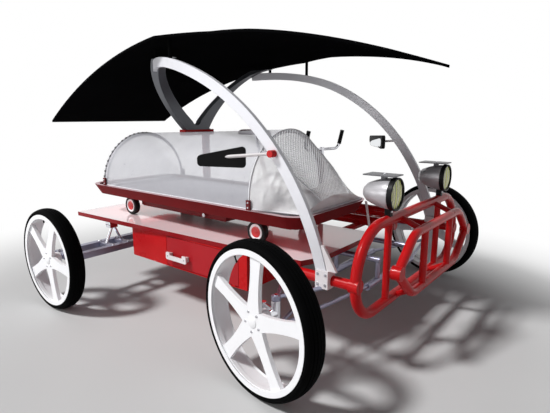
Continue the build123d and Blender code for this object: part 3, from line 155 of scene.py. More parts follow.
FINISHES = {
    "wheel_white": dict(base=(0.88, 0.88, 0.90), rough=0.34, tint=0.015, edge=0.002, Coat_Weight=0.25,
                        Coat_Roughness=0.12),
    "tyre_black": dict(base=(0.0026, 0.0026, 0.0028), rough=0.66, tint=0.25, grain=14.0, span=0.10, bump=0.35,
                       fine=420.0, depth=0.0006, Specular_IOR_Level=0.012),
    "bright_chrome": dict(base=(0.72, 0.72, 0.76), rough=0.12, tint=0.04, span=0.04, edge=0.001,
                          Metallic=1.0),
    "frame_red": dict(base=(0.52, 0.006, 0.008), rough=0.30, tint=0.08, bump=0.10, fine=260.0, edge=0.0015,
                      Coat_Weight=0.06, Coat_Roughness=0.06, Specular_IOR_Level=0.12),
    "drawer_red": dict(base=(0.40, 0.014, 0.020), rough=0.36, tint=0.06, bump=0.10, fine=240.0, edge=0.002,
                       Coat_Weight=0.06, Coat_Roughness=0.08, Specular_IOR_Level=0.12),
    # tray_red: the pinkish top is a painted highlight from the light above; the bright red underside is
    # painted light, so that it shows as a red reflection in the deck
    "tray_red": dict(base=(0.175, 0.010, 0.012), rough=0.36, tint=0.10, bump=0.10, fine=240.0, edge=0.003,
                     top=(0.60, 0.42, 0.45), under=(0.90, 0.07, 0.09), Specular_IOR_Level=0.02),
    "locker_red": dict(base=(0.12, 0.009, 0.011), rough=0.34, tint=0.10, bump=0.10, fine=240.0, edge=0.002,
                       Coat_Weight=0.05, Coat_Roughness=0.08, Specular_IOR_Level=0.1),
    "arm_grey": dict(base=(0.31, 0.315, 0.41), rough=0.34, tint=0.08, span=0.08, bump=0.15, fine=520.0,
                     edge=0.0015, Metallic=0.75),
    # deck_white: the deck is dark red; its pale pink top is a painted highlight from the light above with a
    # painted pink reflection of the red tray
    "deck_white": dict(base=(0.26, 0.008, 0.012), rough=0.14, tint=0.03, grain=2.2, bump=0.04, fine=160.0,
                       edge=0.002, top=(0.95, 0.82, 0.84), top_coat=0.8, Coat_Roughness=0.03,
                       Specular_IOR_Level=0.12),
    "trim_white": dict(base=(0.80, 0.76, 0.77), rough=0.30, tint=0.04, edge=0.0015, Coat_Weight=0.3,
                       Coat_Roughness=0.08),
    "arch_silver": dict(base=(0.73, 0.73, 0.77), rough=0.40, tint=0.05, span=0.08, bump=0.10, fine=300.0,
                        edge=0.002, Metallic=0.08),
    # roof_black: its slightly lighter top is a painted sheen over the black roof
    "roof_black": dict(base=(0.0036, 0.0036, 0.004), rough=0.55, tint=0.12, grain=3.0, span=0.10, bump=0.25,
                       fine=340.0, depth=0.0004, top=(0.013, 0.013, 0.014), Specular_IOR_Level=0.0),
    "vee_grey": dict(base=(0.11, 0.115, 0.13), rough=0.36, tint=0.08, bump=0.12, fine=320.0, edge=0.002,
                     Metallic=0.35),
    "trim_black": dict(base=(0.006, 0.006, 0.0065), rough=0.42, tint=0.2, span=0.10, bump=0.3, fine=600.0,
                       depth=0.0004, edge=0.002, Specular_IOR_Level=0.12),
    "plate_grey": dict(base=(0.10, 0.10, 0.11), rough=0.38, tint=0.1, bump=0.15, edge=0.001, Metallic=0.3),
    "lamp_silver": dict(base=(0.50, 0.49, 0.51), rough=0.30, tint=0.05, span=0.06, bump=0.06, edge=0.001,
                        Metallic=0.25, Coat_Weight=0.3, Coat_Roughness=0.05),
    "lamp_glass": dict(base=(0.80, 0.86, 0.20), rough=0.14, tint=0.08, grain=30.0, bump=0.05, Coat_Weight=0.6,
                       Coat_Roughness=0.02, Subsurface_Weight=0.15, Subsurface_Radius=(0.01, 0.01, 0.005)),
    # A paler copy of the lens glass: a painted highlight on every other flute
    "lamp_painted_highlight": dict(base=(0.90, 0.92, 0.50), rough=0.14, tint=0.05, grain=30.0, bump=0.05, Coat_Weight=0.6,
                      Coat_Roughness=0.02, Subsurface_Weight=0.15, Subsurface_Radius=(0.01, 0.01, 0.008)),
    # Near black: painted shade in the flute valleys and on the lens's back disc
    "lamp_painted_shade": dict(base=(0.05, 0.055, 0.015), rough=0.24, tint=0.08, grain=30.0, Coat_Weight=0.4,
                        Coat_Roughness=0.04),
    "saddle_red": dict(base=(0.16, 0.016, 0.02), rough=0.42, tint=0.12, grain=22.0, span=0.10, bump=0.5,
                       fine=520.0, depth=0.0006, Sheen_Weight=0.1),
    "net_film": dict(base=(0.64, 0.64, 0.69), rough=0.36, tint=0.05, grain=9.0, span=0.10, bump=0.25,
                     depth=0.0006, weave=130.0, Alpha=0.47, Sheen_Weight=0.1),
    "net_fold": dict(base=(0.94, 0.93, 0.95), rough=0.45, tint=0.08, grain=16.0, span=0.10, bump=0.3,
                     depth=0.0006, weave=130.0, Alpha=0.76, Sheen_Weight=0.1),
    "net_open": dict(base=(0.80, 0.80, 0.85), rough=0.45, tint=0.08, grain=16.0, span=0.10, bump=0.3,
                     depth=0.0006, weave=130.0, Alpha=0.36, Sheen_Weight=0.1),
    "net_white": dict(base=(0.74, 0.74, 0.77), rough=0.55, tint=0.06, grain=60.0, bump=0.4, fine=1500.0),
    "net_cord": dict(base=(0.92, 0.92, 0.95), rough=0.60, tint=0.10, grain=60.0, bump=0.4, fine=1500.0),
    "hoop_white": dict(base=(0.70, 0.70, 0.73), rough=0.30, tint=0.04, Coat_Weight=0.3, Coat_Roughness=0.1),
    "bead_grey": dict(base=(0.17, 0.16, 0.17), rough=0.40, tint=0.08, grain=40.0, Coat_Weight=0.2,
                      Coat_Roughness=0.1),
    "pad_grey": dict(base=(0.46, 0.46, 0.50), rough=0.75, tint=0.08, grain=12.0, bump=0.5, depth=0.0008,
                     weave=170.0, Sheen_Weight=0.3),
    "caster_black": dict(base=(0.007, 0.007, 0.0075), rough=0.50, tint=0.25, grain=20.0, bump=0.3, fine=600.0,
                         Specular_IOR_Level=0.2),
    "caster_hub": dict(base=(0.62, 0.008, 0.011), rough=0.24, tint=0.06, bump=0.06, edge=0.001,
                       Coat_Weight=0.12, Coat_Roughness=0.04),
    "mirror_glass": dict(base=(0.82, 0.84, 0.86), rough=0.03, tint=0.02, span=0.02, bump=0.01, Metallic=1.0),
    "bolt_steel": dict(base=(0.55, 0.55, 0.58), rough=0.28, tint=0.1, grain=80.0, span=0.08, bump=0.2,
                       edge=0.0004, Metallic=1.0),
}
finish = {name: surface(name, **look) for name, look in FINISHES.items()}

# CAD nodes take the finish of their material slot, apart from these
NODE_FINISH = {
    "stretcher_tray": "tray_red",
    "stretcher_locker": "locker_red",
    "caster_brackets": "locker_red",
    "hoop_tabs": "locker_red",
    "lamp_visors": "plate_grey",
}
for part in frame["record"]["subparts"]:
    mesh = nodes[part["node"]].data
    mesh.materials.clear()
    mesh.materials.append(finish[NODE_FINISH.get(part["node"], part["material_slot"])])


# Mesh building
def basis(origin, along, across=(0, 0, 1)):
    """Matrix with its local Z on a direction, at a point."""
    z = Vector(along).normalized()
    x = Vector(across) - z * Vector(across).dot(z)
    if x.length < 1e-6:
        x = Vector((1, 0, 0)) - z * z.x
    x.normalize()
    y = z.cross(x)
    matrix = Matrix((x, y, z)).transposed().to_4x4()
    matrix.translation = Vector(origin)
    return matrix


def rounded(value, power):
    """A sine or cosine raised to a power, with its sign kept."""
    return abs(value) ** power * (1 if value > 0 else -1)


class Shape:
    """Collects the faces of one piece."""

    def __init__(self):
        self.points = []
        self.faces = []
        self.finishes = []

    def put(self, points, faces, finish_index=0):
        base = len(self.points)
        self.points += [Vector(p) for p in points]
        self.faces += [[base + i for i in face] for face in faces]
        self.finishes += [finish_index] * len(faces)

    def grid(self, rows, finish_index=0, wrap=False):
        count = len(rows[0])
        faces = []
        for i in range(len(rows) - 1):
            for j in range(count if wrap else count - 1):
                k = (j + 1) % count
                faces.append([i * count + j, i * count + k, (i + 1) * count + k, (i + 1) * count + j])
        self.put([p for row in rows for p in row], faces, finish_index)

    def lathe(self, profile, matrix, steps=48, finish_index=0, loop=False):
        """Turns a line of (radius, height) points about the matrix's Z axis."""
        line = profile + profile[:1] if loop else profile
        rows = []
        for radius, height in line:
            rows.append([matrix @ Vector((max(radius, 1e-5) * cos(2 * pi * k / steps),
                                          max(radius, 1e-5) * sin(2 * pi * k / steps), height))
                         for k in range(steps)])
        self.grid(rows, finish_index, wrap=True)

    def tube(self, line, radius, sides=6, finish_index=0, ring=False):
        """Sweeps a round section along a line of points."""
        line = [Vector(p) for p in line]
        count = len(line)
        rows = []
        side = None
        for i, point in enumerate(line):
            ahead = line[(i + 1) % count] if ring or i + 1 < count else point
            behind = line[i - 1] if ring or i > 0 else point
            way = (ahead - behind).normalized()
            if side is None:
                side = way.orthogonal().normalized()
            side = (side - way * side.dot(way)).normalized()
            up = way.cross(side)
            rows.append([point + (side * cos(2 * pi * k / sides) + up * sin(2 * pi * k / sides)) * radius
                         for k in range(sides)])
        if ring:
            rows.append(rows[0])
        first = len(self.points)
        last = first + (count - 1) * sides
        self.grid(rows, finish_index, wrap=True)
        if not ring:
            self.faces += [[first + k for k in range(sides)], [last + k for k in range(sides)]]
            self.finishes += [finish_index] * 2

    def bolt(self, origin, along, size, finish_index=0):
        """A washer and a hexagon head with a rounded top."""
        washer = [(0, 0), (1.25, 0), (1.3, 0.12), (1.2, 0.22), (0, 0.22)]
        head = [(1, 0.2), (1, 0.75), (0.82, 0.95), (0.3, 1), (0, 1)]
        matrix = basis(origin, along)
        for profile, steps in ((washer, 20), (head, 6)):
            self.lathe([(size * r, size * h) for r, h in profile], matrix, steps, finish_index)

    def piece(self, name, finishes, body, slot, sharp=38, merge=1e-5):
        """Makes the object, which rides on a body of the frame."""
        mesh = bpy.data.meshes.new(name)
        mesh.from_pydata([tuple(p) for p in self.points], [], self.faces)
        for item in finishes:
            mesh.materials.append(finish[item])
        mesh.polygons.foreach_set("material_index", self.finishes)
        work = bmesh.new()
        work.from_mesh(mesh)
        bmesh.ops.remove_doubles(work, verts=work.verts, dist=merge)
        bmesh.ops.dissolve_degenerate(work, edges=work.edges, dist=merge / 2)
        bmesh.ops.recalc_face_normals(work, faces=work.faces)
        work.to_mesh(mesh)
        work.free()
        mesh.shade_smooth()
        mesh.set_sharp_from_angle(angle=radians(sharp))
        made = bpy.data.objects.new(name, mesh)
        bpy.context.scene.collection.objects.link(made)
        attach(made, body)
        return made


# Road wheels: tyres with grooves, hub caps, wheel bolts and valves
STEER = radians(-9.5)
REAR_AXLE_X = -0.490
WHEEL_COLUMNS = ("name", "side", "axle_x", "wheel_y", "tyre_r", "tyre_w", "turn", "phase")
WHEEL_ROWS = (
    ("front_right", -1, 1.110, 1.003, 0.346, 0.100, STEER, 85),
    ("front_left", 1, 1.110, 1.003, 0.346, 0.100, STEER, 100),
    ("rear_right", -1, REAR_AXLE_X, 1.122, 0.318, 0.092, 0.0, 66),
    ("rear_left", 1, REAR_AXLE_X, 1.122, 0.318, 0.092, 0.0, 100),
)
KINGPIN = 0.097
SIDEWALL = 0.037
RIM_DEPTH = 0.022
SPOKES = 5
SPOKE_STEP = 360 / SPOKES

# The tyre's section: how far its lip, bead and shoulder lie from the rim, the tread and the side
LIP_RISE, LIP_IN = 0.0043, 0.003
BEAD_RISE, BEAD_IN = 0.0003, 0.0083
SHOULDER_DROP, SHOULDER_IN = 0.008, 0.009
SIDE_GROOVES = ((0.0065, 0.0010, 0.0009), (0.0170, 0.0008, 0.0008))
TREAD_SHARES = (0.2, 0.4, 0.6, 0.8)
TREAD_GROOVE_HALF, TREAD_GROOVE_DEPTH = 0.0021, 0.0028
CROWN_LENGTH = 1.03

# Hub cap and valve as (radius, height) lines, the cap's heights from the hub's face
HUB_FACE_IN = 0.012
HUB_CAP = ((0.0, 0.0070), (0.012, 0.0066), (0.021, 0.0050), (0.0265, 0.0022), (0.0275, -0.001), (0.0, -0.001))
WHEEL_BOLT_R, WHEEL_BOLT_SIZE, WHEEL_BOLT_SINK = 0.046, 0.0052, 0.0004
VALVE = [(0, 0), (0.0052, 0), (0.0050, 0.004), (0.0034, 0.007), (0.0034, 0.020), (0.0042, 0.021),
         (0.0042, 0.031), (0.0034, 0.033), (0, 0.033)]
VALVE_OUT, VALVE_SINK = 0.012, 0.003


def arc_through(first, middle, last, count):
    """Points on the circle through three points of a plane."""
    (ax, ay), (bx, by), (cx, cy) = first, middle, last
    aa, bb, cc = ax**2 + ay**2, bx**2 + by**2, cx**2 + cy**2
    d = 2 * (ax * (by - cy) + bx * (cy - ay) + cx * (ay - by))
    ux = (aa * (by - cy) + bb * (cy - ay) + cc * (ay - by)) / d
    uy = (aa * (cx - bx) + bb * (ax - cx) + cc * (bx - ax)) / d
    radius = sqrt((ax - ux) ** 2 + (ay - uy) ** 2)
    angles = [atan2(y - uy, x - ux) for x, y in (first, middle, last)]
    for i in (1, 2):
        while angles[i] - angles[i - 1] > pi:
            angles[i] -= 2 * pi
        while angles[i] - angles[i - 1] < -pi:
            angles[i] += 2 * pi
    sweep = [angles[0] + (angles[2] - angles[0]) * k / (count - 1) for k in range(count)]
    return [(ux + radius * cos(angle), uy + radius * sin(angle)) for angle in sweep]


def grooved(line, cuts):
    """A section line with narrow grooves pressed into it: (middle, half width, depth) by its length."""
    lengths = [0.0]
    for first, second in zip(line, line[1:]):
        lengths.append(lengths[-1] + sqrt((second[0] - first[0]) ** 2 + (second[1] - first[1]) ** 2))
    marks = sorted({0.0, lengths[-1], *lengths,
                    *(m + k for m, w, _ in cuts for k in (-w, -0.7 * w, 0.7 * w, w))})
    out = []
    for mark in marks:
        if not 0 <= mark <= lengths[-1]:
            continue
        i = max(k for k in range(len(lengths) - 1) if lengths[k] <= mark + 1e-9)
        share = (mark - lengths[i]) / (lengths[i + 1] - lengths[i])
        way = Vector(line[i + 1]) - Vector(line[i])
        point = Vector(line[i]) + way * share
        inward = Vector((way.y, -way.x)).normalized()
        depth = max((d for m, w, d in cuts if abs(mark - m) <= 0.71 * w), default=0.0)
        point += inward * depth
        out.append((point.x, point.y))
    return out


for row in WHEEL_ROWS:
    wheel = dict(zip(WHEEL_COLUMNS, row))
    side, half, tyre_r = wheel["side"], wheel["tyre_w"] / 2, wheel["tyre_r"]
    outward = Vector((-sin(wheel["turn"]), cos(wheel["turn"]), 0)) * side
    pivot = Vector((wheel["axle_x"], side * (wheel["wheel_y"] - KINGPIN), tyre_r))
    centre = pivot + outward * KINGPIN
    axle = basis(centre, outward, (cos(wheel["turn"]), sin(wheel["turn"]), 0))
    body = f"wheel_{wheel['name']}"
    rim_r = tyre_r - SIDEWALL
    lip, bead = rim_r + LIP_RISE, rim_r + BEAD_RISE
    shoulder, edge = tyre_r - SHOULDER_DROP, half - SHOULDER_IN
    flank = arc_through((lip, half - LIP_IN), ((lip + shoulder) / 2, half), (shoulder, edge), 9)
    crown = arc_through((shoulder, edge), (tyre_r, 0.0), (shoulder, -edge), 25)
    flank = grooved(flank, SIDE_GROOVES)
    width = 2 * edge * CROWN_LENGTH
    crown = grooved(crown, [(width * k, TREAD_GROOVE_HALF, TREAD_GROOVE_DEPTH) for k in TREAD_SHARES])
    inner = [(lip, BEAD_IN - half), (bead, BEAD_IN - half), (bead, half - BEAD_IN), (lip, half - BEAD_IN)]
    other = [(r, -h) for r, h in reversed(flank)]
    tyre = Shape()
    tyre.lathe(flank + crown[1:-1] + other + inner, axle, 144, loop=True)
    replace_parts(tyre.piece(f"tyre_skin_{wheel['name']}", ["tyre_black"], body, "tyre_black", sharp=50),
                f"tyre_{wheel['name']}")

    trim = Shape()
    face = half - HUB_FACE_IN
    trim.lathe([(r, face + h) for r, h in HUB_CAP], axle, 40)
    between = wheel["phase"] + SPOKE_STEP / 2
    for k in range(SPOKES):
        angle = radians(between + SPOKE_STEP * k)
        spot = Vector((WHEEL_BOLT_R * cos(angle), WHEEL_BOLT_R * sin(angle), face - WHEEL_BOLT_SINK))
        trim.bolt(axle @ spot, outward, WHEEL_BOLT_SIZE, 1)
    trim.piece(f"hub_trim_{wheel['name']}", ["wheel_white", "bolt_steel"], body, "wheel_white")

    valve = Shape()
    angle = radians(between)
    reach = rim_r - RIM_DEPTH + VALVE_SINK
    foot = axle @ Vector((reach * cos(angle), reach * sin(angle), VALVE_OUT))
    inwards = (centre + outward * VALVE_OUT - foot).normalized()
    valve.lathe(VALVE, basis(foot, inwards), 16)
    valve.piece(f"valve_{wheel['name']}", ["trim_black"], body, "trim_black")

# Canopy: a film tunnel between the hoops, a net end panel, a net nose with folded gussets
CANOPY_Y = -0.320
CANOPY_Z = 0.7153
REAR_X, FRONT_X, NOSE_X = -0.614, 0.742, 1.050
INSET = 0.0012
AXIS = Vector((0, CANOPY_Y, 0.76))
FILM_DIP, FILM_PUCKER, FILM_WAVE = 0.0032, 0.0022, 0.0018
NOSE_TURN = 0.9
NOSE_AHEAD, NOSE_UP = 0.55, 0.1
NOSE_SWELL, NOSE_FOLD, NOSE_ROUND = 0.016, 0.011, 0.002
GUSSET_SHARE = 0.34
PANEL_IN, PANEL_BOW = 0.0015, 0.004

# Sections of the canopy: half width, straight sides and the round top's height
REAR_SECTION = (0.345 - INSET, 0.008, 0.345 - INSET)
FRONT_SECTION = (0.345 - INSET, 0.058, 0.345 - INSET)
NOSE_SECTION = (0.285 - INSET, 0.008, 0.060 - INSET)


def outline(half, rise, crown, t):
    """Point (y, z) of a canopy section, with straight sides below a round top.

    t goes from 0 at the right foot to 1 at the left one.
    """
    radius = (half**2 + crown**2) / (2 * crown)
    open_angle = asin(min(1.0, half / radius)) if crown <= half else pi / 2
    total = 2 * open_angle * radius + 2 * rise
    s = t * total
    if s < rise:
        return -half, s
    if s > total - rise:
        return half, total - s
    angle = (s - rise) / radius - open_angle
    return radius * sin(angle), rise + crown - radius + radius * cos(angle)


def patch(first, second, start_x, end_x, u, v):
    """Point between two sections."""
    ya, za = outline(*first, u)
    yb, zb = outline(*second, u)
    return Vector((start_x + (end_x - start_x) * v,
                   CANOPY_Y + ya + (yb - ya) * v,
                   CANOPY_Z + za + (zb - za) * v))


def tunnel_point(u, v):
    """The film is drawn tight between the hoops: it dips a little and puckers beside them."""
    p = patch(REAR_SECTION, FRONT_SECTION, REAR_X, FRONT_X, u, v)
    out = Vector((0, p.y - AXIS.y, p.z - AXIS.z)).normalized()
    hold = sin(pi * v)
    arch = sin(pi * u)
    dip = -FILM_DIP * hold * arch
    pucker = FILM_PUCKER * noise.noise(Vector((u * 9, v * 26, 3.1))) * (1 - hold) ** 2 * arch
    wave = FILM_WAVE * noise.noise(Vector((u * 5, v * 4, 8.4))) * hold * arch
    return p + out * (dip + pucker + wave)


def nose_out(p):
    """Direction away from the inside at a point of the nose."""
    return Vector((NOSE_AHEAD, p.y - AXIS.y, p.z - AXIS.z + NOSE_UP)).normalized()


def nose_point(u, v):
    """The nose swells a little below the hoop and turns down at its tip. Its gussets lie in folds."""
    if v > NOSE_TURN:
        p = patch(FRONT_SECTION, NOSE_SECTION, FRONT_X, NOSE_X, u, 1.0)
        drop = (v - NOSE_TURN) / (1 - NOSE_TURN)
        p.z = CANOPY_Z + (p.z - CANOPY_Z) * (1 - drop)
        p.x = NOSE_X - NOSE_ROUND + NOSE_ROUND * sin(pi * drop)
        return p
    w = v / NOSE_TURN
    p = patch(FRONT_SECTION, NOSE_SECTION, FRONT_X, NOSE_X, u, w)
    swell = NOSE_SWELL * sin(pi * w) * sin(pi * u)
    foot = min(u, 1 - u)
    gusset = max(0.0, 1 - foot / GUSSET_SHARE)
    low = min(1.0, 4 * foot + 0.25)
    wave = noise.noise(Vector((u * 7 + w * 5, w * 6 - u * 9, 1.7 + (u > 0.5) * 6)))
    fold = (1 - abs(wave) * 2) * NOSE_FOLD * gusset * low * sin(pi * min(1, w * 1.1 + 0.05))
    return p + nose_out(p) * (swell + fold)


def rear_point(u, v):
    """The end panel bows in a little."""
    y, z = outline(*REAR_SECTION, u)
    bow = PANEL_BOW * sin(pi * u) * sin(pi * v)
    return Vector((REAR_X + PANEL_IN + bow, CANOPY_Y + y, CANOPY_Z + z * v))


def sheet_rows(point, across, along):
    """Rows of a sheet's points."""
    return [[point(i / across, j / along) for i in range(across + 1)] for j in range(along + 1)]


def area_of(rows):
    """Area of a sheet."""
    total = 0.0
    for first, second in zip(rows, rows[1:]):
        for a, b, c, d in zip(first, first[1:], second[1:], second):
            total += (c - a).cross(d - b).length / 2
    return total


# The nose's open net lies between these shares of its width and above this share of its length
NET_FROM, NET_TO = 0.27, 0.73
NET_DOWN = 0.72
SHEETS = (
    ("canopy_tunnel", tunnel_point, 96, 90, ["net_film"], (1.150, 1.357)),
    ("canopy_nose", nose_point, 120, 80, ["net_fold", "net_open"], (1.150, 0.530)),
    ("canopy_rear_panel", rear_point, 96, 40, ["net_open"], (0.688, 0.355)),
)
sheets = {}
for name, point, across, along, skins, flat in SHEETS:
    rows = sheet_rows(point, across, along)
    cloth = Shape()
    cloth.grid(rows)
    if len(skins) > 1:
        netted = [NET_FROM <= (i + 0.5) / across <= NET_TO for i in range(across)]
        cloth.finishes = [int(netted[i] and j < NET_DOWN * along)
                          for j in range(along) for i in range(across)]
    sheets[name] = (cloth.piece(name, skins, "stretcher", "net_white", sharp=80), flat, area_of(rows))
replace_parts(sheets["canopy_tunnel"][0], "canopy")

# Net cords laid on the rear panel and on the front of the nose
CELL = 0.021
CORD_R = 0.0015
CORD_LIFT = 0.0011
CORD_SIDES = 4
NOSE_NET_W, NOSE_NET_L = 1.02, 0.47
REAR_STEPS, NOSE_STEPS = 60, 48
rear_half, rear_side, rear_top = REAR_SECTION
rear_height = rear_side + rear_top
rear_net = Shape()
for slope in (1, -1):
    shift = rear_half + (rear_height if slope > 0 else 0)
    for k in range(int((2 * rear_half + rear_height) / CELL) + 1):
        run = []
        for j in range(REAR_STEPS + 1):
            z = rear_height * j / REAR_STEPS
            y = slope * (k * CELL - shift + z)
            top = rear_side + sqrt(max(0.0, rear_top**2 - y * y))
            if abs(y) < rear_half and z <= top:
                bow = PANEL_BOW * cos(pi * y / (2 * rear_half)) * sin(pi * min(1, z / max(top, 1e-3)))
                run.append((REAR_X + PANEL_IN + bow, CANOPY_Y + y, CANOPY_Z + z))
        if len(run) > 2:
            rear_net.tube(run, CORD_R, CORD_SIDES)
rear_cords = rear_net.piece("canopy_rear_net", ["net_cord"], "stretcher", "net_white", sharp=80)

nose_net = Shape()
for slope in (1, -1):
    for k in range(-int(NOSE_NET_L / CELL) - 1, int(NOSE_NET_W / CELL) + 1):
        run = []
        for j in range(NOSE_STEPS + 1):
            u = (k * CELL + NOSE_NET_L * j / NOSE_STEPS) / NOSE_NET_W
            if slope < 0:
                u = 1 - u
            if NET_FROM <= u <= NET_TO:
                p = nose_point(u, NOSE_TURN * j / NOSE_STEPS)
                run.append(p + nose_out(p) * CORD_LIFT)
        if len(run) > 2:
            nose_net.tube(run, CORD_R, CORD_SIDES)
nose_cords = nose_net.piece("canopy_nose_net", ["net_cord"], "stretcher", "net_white", sharp=80)

# Seam tapes and the lip round the foot of the nose
TAPE_R, HOOP_TAPE_R, FOOT_TAPE_R, LIP_R = 0.0035, 0.0042, 0.0036, 0.0050
TAPE_OUT = Vector((0.001, 0, 0.002))
FOOT_TAPE_UP = Vector((0, 0, 0.004))
LIP_UP = Vector((0, 0, 0.0052))
LIP_AHEAD = 0.004
HOOP_TAPE_END = 0.004
TAPE_STEPS, HOOP_STEPS, LIP_STEPS, TIP_STEPS = 40, 120, 30, 20
tapes = Shape()
for u in (NET_FROM, NET_TO):
    tapes.tube([nose_point(u, NOSE_TURN * j / TAPE_STEPS) + TAPE_OUT for j in range(TAPE_STEPS + 1)], TAPE_R)
hoop_span = 1 - 2 * HOOP_TAPE_END
tapes.tube([nose_point(HOOP_TAPE_END + hoop_span * j / HOOP_STEPS, 0.0) for j in range(HOOP_STEPS + 1)],
           HOOP_TAPE_R)
rim = [nose_point(0.0, NOSE_TURN * j / LIP_STEPS) for j in range(LIP_STEPS + 1)]
for j in range(1, TIP_STEPS):
    across = NOSE_SECTION[0] * (2 * j / TIP_STEPS - 1)
    rim.append(Vector((NOSE_X + LIP_AHEAD, CANOPY_Y + across, CANOPY_Z)))
rim += [nose_point(1.0, NOSE_TURN * j / LIP_STEPS) for j in range(LIP_STEPS, -1, -1)]
tapes.tube([p + LIP_UP for p in rim], LIP_R, 8)
for u in (0.0, 1.0):
    tapes.tube([tunnel_point(u, j / TAPE_STEPS) + FOOT_TAPE_UP for j in range(TAPE_STEPS + 1)], FOOT_TAPE_R)
seam = tapes.piece("canopy_seams", ["net_white"], "stretcher", "net_white", sharp=80)

# Beaded piping of the rear hoop
BEADS = 60
BEAD_END = 0.006
BEAD_BACK = Vector((-0.001, 0, 0))
BEAD = [(0.0, -0.0090), (0.0052, -0.0080), (0.0074, -0.0048), (0.0080, 0.0), (0.0074, 0.0048),
        (0.0052, 0.0080), (0.0, 0.0090)]


def bead_spot(k):
    """Place of a bead on the rear hoop."""
    return tunnel_point(BEAD_END + (1 - 2 * BEAD_END) * k / (BEADS - 1), 0.0)


beads = Shape()
for k in range(BEADS):
    spot = bead_spot(k)
    way = bead_spot(k + 1) - spot if k < BEADS - 1 else spot - bead_spot(k - 1)
    beads.lathe(BEAD, basis(spot + BEAD_BACK, way), 10, k % 2)
piping = beads.piece("canopy_piping", ["hoop_white", "bead_grey"], "stretcher", "hoop_white", sharp=80)
for name, (cloth, flat, area) in sheets.items():
    share = min(area, flat[0] * flat[1])

# Stretcher pad: crowned, with sewn cross channels
PAD_ACROSS, PAD_ALONG = 40, 150
PAD_EDGE = 0.045
PAD_POWER = 2.4
SIDE_PULL, SIDE_PULLS, END_PULL = 0.012, 4.5, 0.006
CHANNEL_STEP, CHANNEL_HALF, CHANNEL_DEPTH, CHANNEL_FADE = 0.164, 0.016, 0.011, 0.03
low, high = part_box("stretcher_pad")
pad_l, pad_w, pad_t = high.x - low.x, high.y - low.y, high.z - low.z
middle = (low + high) / 2


def pad_point(i, j, up):
    """Point of the pad's upper or lower face."""
    s = sin((2 * i / PAD_ACROSS - 1) * pi / 2)
    t = sin((2 * j / PAD_ALONG - 1) * pi / 2)
    pull = 1 - SIDE_PULL * cos(pi * t * SIDE_PULLS) ** 2 * abs(s)
    x = middle.x + t * pad_l / 2 * (1 - END_PULL * (1 - s * s))
    y = middle.y + s * pad_w / 2 * pull
    reach = min((1 - abs(s)) * pad_w / 2, (1 - abs(t)) * pad_l / 2)
    full = (1 - (1 - min(1.0, reach / PAD_EDGE)) ** PAD_POWER) ** (1 / PAD_POWER)
    channel = 0.0
    if up > 0:
        near = abs(((t * pad_l / 2) / CHANNEL_STEP) % 1.0 - 0.5) * CHANNEL_STEP
        channel = CHANNEL_DEPTH * max(0.0, 1 - near / CHANNEL_HALF) ** 2 * min(1.0, reach / CHANNEL_FADE)
    return x, y, middle.z + up * (pad_t / 2 * full - channel)


pad = Shape()
for up in (1, -1):
    pad.grid([[pad_point(i, j, up) for i in range(PAD_ACROSS + 1)] for j in range(PAD_ALONG + 1)])
cushion = pad.piece("pad_cover", ["pad_grey"], "stretcher", "pad_grey", sharp=70, merge=1e-4)
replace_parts(cushion, "stretcher_pad")

# Saddle: a padded shell with a narrow nose and a seam round its foot
SADDLE_STEPS, SADDLE_ROUND = 40, 32
SADDLE_HALF, SADDLE_NOSE_HALF = 0.079, 0.023
SADDLE_TALL = 0.0445
SADDLE_FOOT = 0.35
SADDLE_GAP, SADDLE_LIFT = 0.001, 0.0005
SADDLE_DIP, SADDLE_DIP_HALF = 0.004, 0.02
TAPER_FROM, TAPER_LENGTH, TAPER_POWER = 0.10, 0.46, 0.8
BACK_ROUND, NOSE_END_ROUND = 0.06, 0.07
SADDLE_SAG, SAG_FROM, SAG_PACE = 0.14, 0.15, 1.6
low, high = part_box("saddle")
middle_y = (low.y + high.y) / 2
saddle_z = low.z + SADDLE_LIFT
saddle = Shape()
seam_left, seam_right = [], []
rows = []
for j in range(SADDLE_STEPS + 1):
    t = j / SADDLE_STEPS
    x = low.x + SADDLE_GAP + (high.x - low.x - 2 * SADDLE_GAP) * t
    narrow = min(1.0, max(0.0, (t - TAPER_FROM) / TAPER_LENGTH)) ** TAPER_POWER
    close = min(1.0, t / BACK_ROUND) ** 0.5 * min(1.0, (1 - t) / NOSE_END_ROUND) ** 0.5
    half = max(0.002, (SADDLE_HALF - (SADDLE_HALF - SADDLE_NOSE_HALF) * narrow) * close)
    crest = 1 - SADDLE_SAG + SADDLE_SAG * cos(pi * (t - SAG_FROM) * SAG_PACE) ** 2
    tall = SADDLE_TALL * crest * max(0.3, close)
    row = []
    for i in range(SADDLE_ROUND):
        a = 2 * pi * i / SADDLE_ROUND
        y = half * rounded(cos(a), 0.75)
        up = rounded(sin(a), 0.7)
        dip = SADDLE_DIP * max(0.0, 1 - abs(y) / SADDLE_DIP_HALF) * (up > 0) * close
        share = SADDLE_FOOT + (1 - SADDLE_FOOT if up > 0 else SADDLE_FOOT) * up
        row.append((x, middle_y + y, saddle_z + tall * share - dip))
    rows.append(row)
    seam_left.append((x, middle_y + half, saddle_z + tall * SADDLE_FOOT))
    seam_right.append((x, middle_y - half, saddle_z + tall * SADDLE_FOOT))
saddle.grid(rows, wrap=True)
saddle.put(rows[0], [list(range(SADDLE_ROUND))])
saddle.put(rows[-1], [list(range(SADDLE_ROUND))])
seat = saddle.piece("saddle_cover", ["saddle_red"], "chassis", "saddle_red", sharp=60)
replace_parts(seat, "saddle")
WELT_R = 0.0022
welt = Shape()
welt.tube(seam_left + seam_right[::-1], WELT_R, 8, ring=True)
welt.piece("saddle_welt", ["trim_black"], "chassis", "saddle_red", sharp=80)

